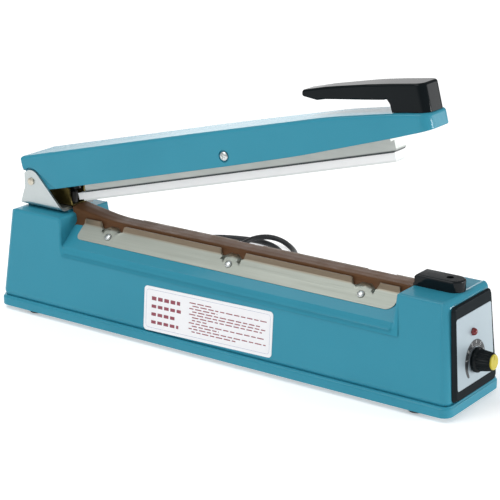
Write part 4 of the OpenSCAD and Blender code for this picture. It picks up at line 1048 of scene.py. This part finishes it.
gloss_black = plain("gloss_black", (9, 16, 19), (15, 22, 25), 40, (500, EVEN, 2), (0.24, 0.36),
                    (0.00003, 0.12), Specular_IOR_Level=0.0, Coat_Weight=0.28, Coat_Roughness=0.05)
KNOB_FLUTES = 22
knob_mesh = turned([
    (2.45, 3.1), (8.9, 3.1), (9.2, 3.3), (9.3, 3.6), (9.3, 5.1), (9.15, 5.6), (8.75, 5.95),
    (8.2, 6.1), (7.95, 6.35), (7.9, 6.75), (7.85, 6.9), (6.55, 16.1), (6.5, 16.35), (6.35, 16.65),
    (6.1, 16.8), (5.72, 16.8), (5.72, 16.3), (0.05, 16.3)], 8 * KNOB_FLUTES,
    lambda r, h: (0.26 if 6.8 < h < 16.3 else 0.0, KNOB_FLUTES))
fitted("knob_fluted", on_panel(knob_mesh, KNOB), gloss_black, "dial", ["knob"], 40)
cap_yellow = plain("cap_yellow", (182, 166, 12), (196, 182, 24), 120, (800, EVEN, 2), (0.32, 0.44),
                   Coat_Weight=0.2, Coat_Roughness=0.2)
cap_mesh = turned([(5.7, 16.6), (5.7, 17.5), (5.6, 17.75), (5.3, 17.92), (4.9, 17.97),
                   (0.05, 18)], 64)
cap_mesh = weighted(cut(cap_mesh, boxed((0.5, 3.4, 0.5), (0, 3.3, 18))), 40)
fitted("knob_cap_yellow", on_panel(cap_mesh, KNOB), cap_yellow, "dial",
       ["knob_cap"], 0)
fitted("knob_pointer", on_panel(boxed((0.48, 3.36, 0.06), (0, 3.3, 17.79)), KNOB), scale_black,
       "dial")

# The works inside ----------------------------------------------------------------------------
# A transformer on the bottom plate feeds the ribbon; a circuit board times the pulse, which the
# arm starts through a pushrod and a lever on a small switch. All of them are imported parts.

WORKS = {"cream_nylon": ((222, 216, 198), (236, 232, 216), 0.45, 0, ["lamp_body"]),
         "pot_case": ((70, 92, 80), (88, 112, 98), 0.4, 0, ["timer_pot"]),
         "solder_mask": ((22, 84, 44), (34, 104, 56), 0.3, 0, ["circuit_board"]),
         "part_cases": ((38, 46, 72), (54, 62, 90), 0.4, 0, ["board_parts"]),
         "core_steel": ((92, 88, 84), (128, 122, 116), 0.4, 1, ["transformer_core"]),
         "coil_tape": ((196, 144, 50), (216, 168, 74), 0.35, 0, ["transformer_coil"]),
         "switch_case": ((26, 26, 28), (40, 40, 42), 0.5, 0, ["microswitch", "switch_pushrod"]),
         "wire_jackets": ((120, 66, 32), (146, 84, 44), 0.5, 0, ["wire_harness"]),
         "heavy_wires": ((160, 30, 26), (186, 46, 38), 0.5, 0, ["ribbon_wires"])}
for name, (dark, light, rough, metal, nodes) in WORKS.items():
    made = Finish(name, Metallic=float(metal))
    stripes = made.grain(260, (0.2, 4, 1) if name in ("core_steel", "coil_tape") else (1, 1, 1))
    made.toned(stripes, dark, light).rubbed(stripes, rough - 0.06, rough + 0.08)
    dress(made, *nodes)
dress(bright_zinc, "pot_nut", "timer_shaft", "transformer_screws", "switch_screws", "switch_lever")

# The hinge -----------------------------------------------------------------------------------
# A bright zinc-plated bracket, bent up at both sides, is screwed to the pedestal. Its round-topped
# cheeks carry the pin. A second bracket inside it, yellow-passivated, seats the return spring.

PIN = (23.0, 105.7)


def along_y(outline, y0, y1):
    """A side view in casing millimetres, drawn out from y0 to y1"""
    return looped([[spot(x, y, z) for x, z in outline] for y in (y0, y1)])


def bent_loop(x, half, t, r, z0, z1):
    """A cross-section of a sheet bent up at both sides"""
    right = arc(half - r, z0 + r, r, -90, 90, 6) + [(half, z1), (half - t, z1)]
    right += arc(half - r, z0 + r, r - t, 0, -90, 6)
    return [spot(x, y, z) for y, z in right] + [spot(x, -y, z) for y, z in reversed(right)]


def cheek_outline(grow=0.0):
    fall = Vector((55.3 - 40.8, -15)).normalized()
    out = degrees(atan2(fall[0], -fall[1]))
    r, left = 9.5 + grow, 15.8 - grow
    start = degrees(acos((left - PIN[0]) / r))
    low = Vector((55.3, 86.1)) + grow * Vector((-fall[1], fall[0]))
    return [(10.3 - grow, 85), (left, 100)] + arc(*PIN, r, start, out - start, 24) + [
        tuple(low), (low[0] + (low[1] - 85) * fall[0] / -fall[1], 85)]


def pin_hole(r):
    return rod((PIN[0], 0, PIN[1]), "Y", r, -30, 30)


BRACKET_SCREWS, FLOOR = (17, 26), 85
HOLES = [(x, 2.0) for x in BRACKET_SCREWS] + [(STRIKER_X, 4.1)]


def bracket(half, t, r, z, outline):
    mesh = looped([bent_loop(x, half, t, r, z, 121) for x in (5, 62)])
    mesh = combined(mesh, "INTERSECT", [along_y(outline, -26, 26)])
    mesh = cut(mesh, pin_hole(2.5), *(rod((x, 0, z), "Z", hole, -2, 6) for x, hole in HOLES))
    return weighted(rounded(mesh, sharp(40), 0.22, 2, flat=0.3), 42)


hinge_zinc = Finish("hinge_zinc", Metallic=0.9)
spangle = hinge_zinc.node("TexVoronoi", {}, {"Vector": hinge_zinc.place(), "Scale": 170.0}, 1)
frost = hinge_zinc.grain(60, detail=5)
hinge_zinc.toned(frost, (178, 187, 187), (208, 214, 214))
hinge_zinc.varies(Roughness=hinge_zinc.spread(frost, 0.25, 0.75, 0.26, 0.46))
hinge_zinc.bumped(spangle * 0.5 + frost * 0.5, 0.00006, 0.5)
fitted("hinge_bracket_bent", bracket(20.5, 2, 3.2, FLOOR, cheek_outline()), hinge_zinc, "base",
       ["hinge_bracket"], 0)

yellow_zinc = Finish("yellow_zinc", Metallic=0.9)
rainbow = yellow_zinc.grain(70, detail=3)
# Its tone is the passivation's yellow darkened to a dark olive: painted shade, for it sits under the
# arm.
yellow_zinc.toned(rainbow, (74, 66, 32), (104, 92, 48)).rubbed(rainbow, 0.3, 0.44)
inner_side = arc(*PIN, 8, 204, -136, 17)
inner_side += [(54.7, 102), (54.8, 97), (57.2, 89.2), (57.2, 86.5), (13.4, 86.5)]
seat = settled(turned([(3.5, 0), (3.5, 2.1), (3.1, 2.5)], 32),
               Matrix.Translation(spot(36.5, 0, 88.51)))
inner_mesh = gathered([bracket(10, 1.5, 2.4, 87.01, inner_side), seat])
fitted("spring_bracket_bent", inner_mesh, yellow_zinc, "base", ["spring_bracket"],
       42)

pin_mesh = turned([(2.8, -21.7), (3.1, -21.5), (3.1, -20.7), (2.5, -20.55), (2.5, 21.6),
                   (2.1, 22)], 36)
pin_at = Matrix.Translation(spot(PIN[0], 0, PIN[1]))
pin_steel = plain("pin_steel", (190, 184, 168), (222, 216, 202), 300, (500,), (0.25, 0.38),
                  Metallic=1.0)
fitted("hinge_pin_turned", settled(pin_mesh, pin_at @ Matrix.Rotation(-pi / 2, 4, "X")), pin_steel,
       "base", ["hinge_pin"], 40)
screws("bracket_screw_heads", [(spot(x, 0, 88.53), UP) for x in BRACKET_SCREWS], 3.6, 6, "base",
       ["bracket_screws"])
bush_nylon = plain("bush_nylon", (224, 218, 200), (238, 234, 220), 200, Roughness=0.4)
dress(dark_steel, "pin_clip")
dress(spring_wire, "return_spring")
dress(bush_nylon, "hinge_bush_front", "hinge_bush_back")

# The arm -------------------------------------------------------------------------------------
# A long hollow casting, open below and painted like the casing. Its tail narrows between the
# hinge's cheeks; it thins towards the tip. It is drawn closed here, then turned up about the pin.

TILT = radians(14.94)
opened = (pin_at @ Matrix.Rotation(-TILT, 4, "Y")
          @ Matrix.Translation(-spot(PIN[0], 0, PIN[1])))
TIP, TIP_R = 397.7, 9
ARM_TOP = [(17.5, 127.5), (210, 124.8), (325, 122.3), (378, 117.9), (TIP + TIP_R, 114)]
ARM_UNDER = [(17.5, 96.7), (235, 96.7), (294, 97.1), (378, 100.6), (TIP + TIP_R, 102.3)]


def height_on(line, x, soft=12):
    """The height of a side view's line at x, with its corners softened"""
    def at(x):
        for (x0, z0), (x1, z1) in zip(line, line[1:]):
            if x <= x1 or x1 == line[-1][0]:
                return z0 + (z1 - z0) * (x - x0) / (x1 - x0)
    return sum(at(x + soft * k / 5) for k in range(-5, 6)) / 11


def arm_plan(t, start):
    """Points along one side of the arm's plan, as (x, half width), with t taken in"""
    begin = start + (t if start < 20 else 0)
    xs = [begin, begin + 1.2, begin + 3] + [x for x in range(24, 396, 6) if x > start + 6] + [TIP]
    side_line = [(x, 21 - 4 * max(x - 230, 0) / (TIP - 230) - t) for x in xs]
    return side_line + arc(TIP, 8, TIP_R - t, 81, -81, 9)


def arm_body(levels, start):
    """A body from loops; each level gives (t, height of the loop as a function of x)"""
    loops = []
    for t, z in levels:
        plan = arm_plan(t, start)
        loops.append([spot(x, -y, z(x)) for x, y in plan]
                     + [spot(x, y, z(x)) for x, y in reversed(plan)])
    return looped(loops, "ladder")


def upper(drop):
    return lambda x: height_on(ARM_TOP, x) - drop


def lower(rise):
    return lambda x: height_on(ARM_UNDER, x) + rise


SIDE_SCREW_X, SIDE_SCREW_Z = 227, 104.7
HANDLE_SCREWS, HANDLE_BOSS = ((385, 6.4), (397, 5)), 108.5
TOP_EDGE = 2.6
arm_mesh = arm_body([(0.8, lower(0)), (0.25, lower(0.22)), (0, lower(0.8)), (0, upper(TOP_EDGE))]
                    + [(TOP_EDGE * (1 - cos(radians(a))), upper(TOP_EDGE * (1 - sin(radians(a)))))
                       for a in range(15, 91, 15)], 17.5)
room = arm_body([(3, lambda x: 85.0), (3, upper(4.6)), (3.6, upper(3.4)), (4.6, upper(3))], 62)
cuts = [room, along_y([(16, 90), (16, 114.5), (20.5, 114.5), (20.5, 124.4), (63, 123.8), (63, 90)],
                      -15.2, 15.2)]
for s in (-1, 1):
    cuts.append(looped([[spot(x, s * y, z) for x, z in cheek_outline(grow)]
                        for y, grow in ((18.2, 1.6), (20.4, 2.0), (21.4, 5.6))]))
    cuts.append(along_y([(5, 80), (PIN[0], 80), PIN, (15.5, 112.7), (5, 112.7)], s * 18.2, s * 25))
cuts += [pin_hole(4.5)] + [rod((SIDE_SCREW_X, 0, SIDE_SCREW_Z), "Y", r, y, far) for r, y, far in (
    (2.1, -30, 30), (4.75, -25.8, -19.8), (4.75, 19.8, 25.8))]
bosses = [rod((STRIKER_X, 0, 0), "Z", 4, 114, 125)]
bosses += [rod((x, 0, 0), "Z", 4.5, HANDLE_BOSS, HANDLE_BOSS + high) for x, high in HANDLE_SCREWS]
threads = [rod((STRIKER_X, 0, 0), "Z", 2, 100, 121)]
threads += [rod((x, 0, 0), "Z", 1.5, 100, 112) for x, _ in HANDLE_SCREWS]
arm_mesh = cut(combined(cut(arm_mesh, *cuts), "UNION", bosses), *threads)
fitted("arm_cast", settled(weighted(arm_mesh, 34), opened), blue_paint, "arm",
       ["arm_casing"], 0)


def lifted(places):
    return [(opened @ place, (opened.to_3x3() @ way).normalized()) for place, way in places]


side_heads = lifted([(spot(SIDE_SCREW_X, s * 19.85, SIDE_SCREW_Z), Vector((0, s, 0)))
                     for s in (-1, 1)])
screws("arm_side_screw_heads", side_heads, 3.75, 3, "arm", ["arm_side_screws"])
handle_heads = lifted([(spot(x, 0, HANDLE_BOSS), -UP) for x, _ in HANDLE_SCREWS])
screws("handle_screw_heads", handle_heads, 3.0, 9, "arm", ["handle_screws"])

up_arm = opened.to_3x3() @ UP


def near_height(finish, low, high):
    """1 below a height over the closed bed, 0 above another, measured square to the arm"""
    place = finish.place()
    height = (finish.node("SeparateXYZ", {}, {0: place}) * up_arm.x
              + finish.node("SeparateXYZ", {}, {0: place}, 2) * up_arm.z)
    low, high = ((opened @ spot(PIN[0], 0, h)).dot(up_arm) for h in (low, high))
    return finish.spread(height, low, high, 1, 0)


bar_metal = Finish("bar_metal", Metallic=0.9)
drawn = bar_metal.grain(120, (0.05, 6, 6), turn=(0, TILT, 0))
bar_tone = bar_metal.drift(bar_metal.grain(30), (158, 164, 161), (186, 190, 186))
# Painted shade: below a height, along its low edge, the bar is darkened to near black.
bar_metal.varies(Base_Color=bar_metal.mix(near_height(bar_metal, 89.9, 90.9), bar_tone,
                                          shade(58, 64, 66)))
bar_metal.rubbed(drawn, 0.3, 0.44).bumped(drawn, 0.00004, 0.5)
silicone = Finish("white_silicone", Roughness=0.5)
strip_tone = silicone.drift(silicone.grain(50), (250, 251, 251), (254, 254, 254))
# Painted shade: below a height, along its bottom edge, the strip is greyed.
silicone.varies(Base_Color=silicone.mix(near_height(silicone, 82.6, 83.8), strip_tone,
                                        shade(226, 230, 228)))
dress(bar_metal, "press_bar")
dress(silicone, "silicone_strip")
dress(dark_steel, "striker_bolt")

# The handle ----------------------------------------------------------------------------------
# One glossy black moulding, held from inside the arm by two screws: a column on the tip and a
# flat grip that reaches back over the arm.

HANDLE_SIDE = [(378, 117.95), (377, 118.04), (376.4, 126.2), (373.5, 128.2), (371.5, 127.8),
               (319.7, 134.3), (312, 134.5), (299.2, 139.2), (300.6, 143.7), (322, 143.3),
               (340, 142.1), (360, 140.6), (378.2, 138.6), (406, 135), (406, 114.15)]
HANDLE_PLAN = [(298, 7.5), (333, 9.8), (356, 12.2), (366, 12.8)] + arc(399.3, 6.1, 6.7, 90, -90, 9)
plan_line = [(x, -y) for x, y in HANDLE_PLAN] + HANDLE_PLAN[::-1]
handle_mesh = combined(along_y(HANDLE_SIDE, -14, 14), "INTERSECT", [
    looped([[spot(x, y, z) for x, y in plan_line] for z in (110, 150)])])
clear_of_arm = near(lambda x, y, z: z > 118.1)
handle_mesh = rounded(handle_mesh, lambda e: sharp(24)(e) and clear_of_arm(e), 2.6, 5, flat=0.5)
fitted("handle_moulded", settled(weighted(handle_mesh, 40), opened), gloss_black, "arm",
       ["handle"], 0)
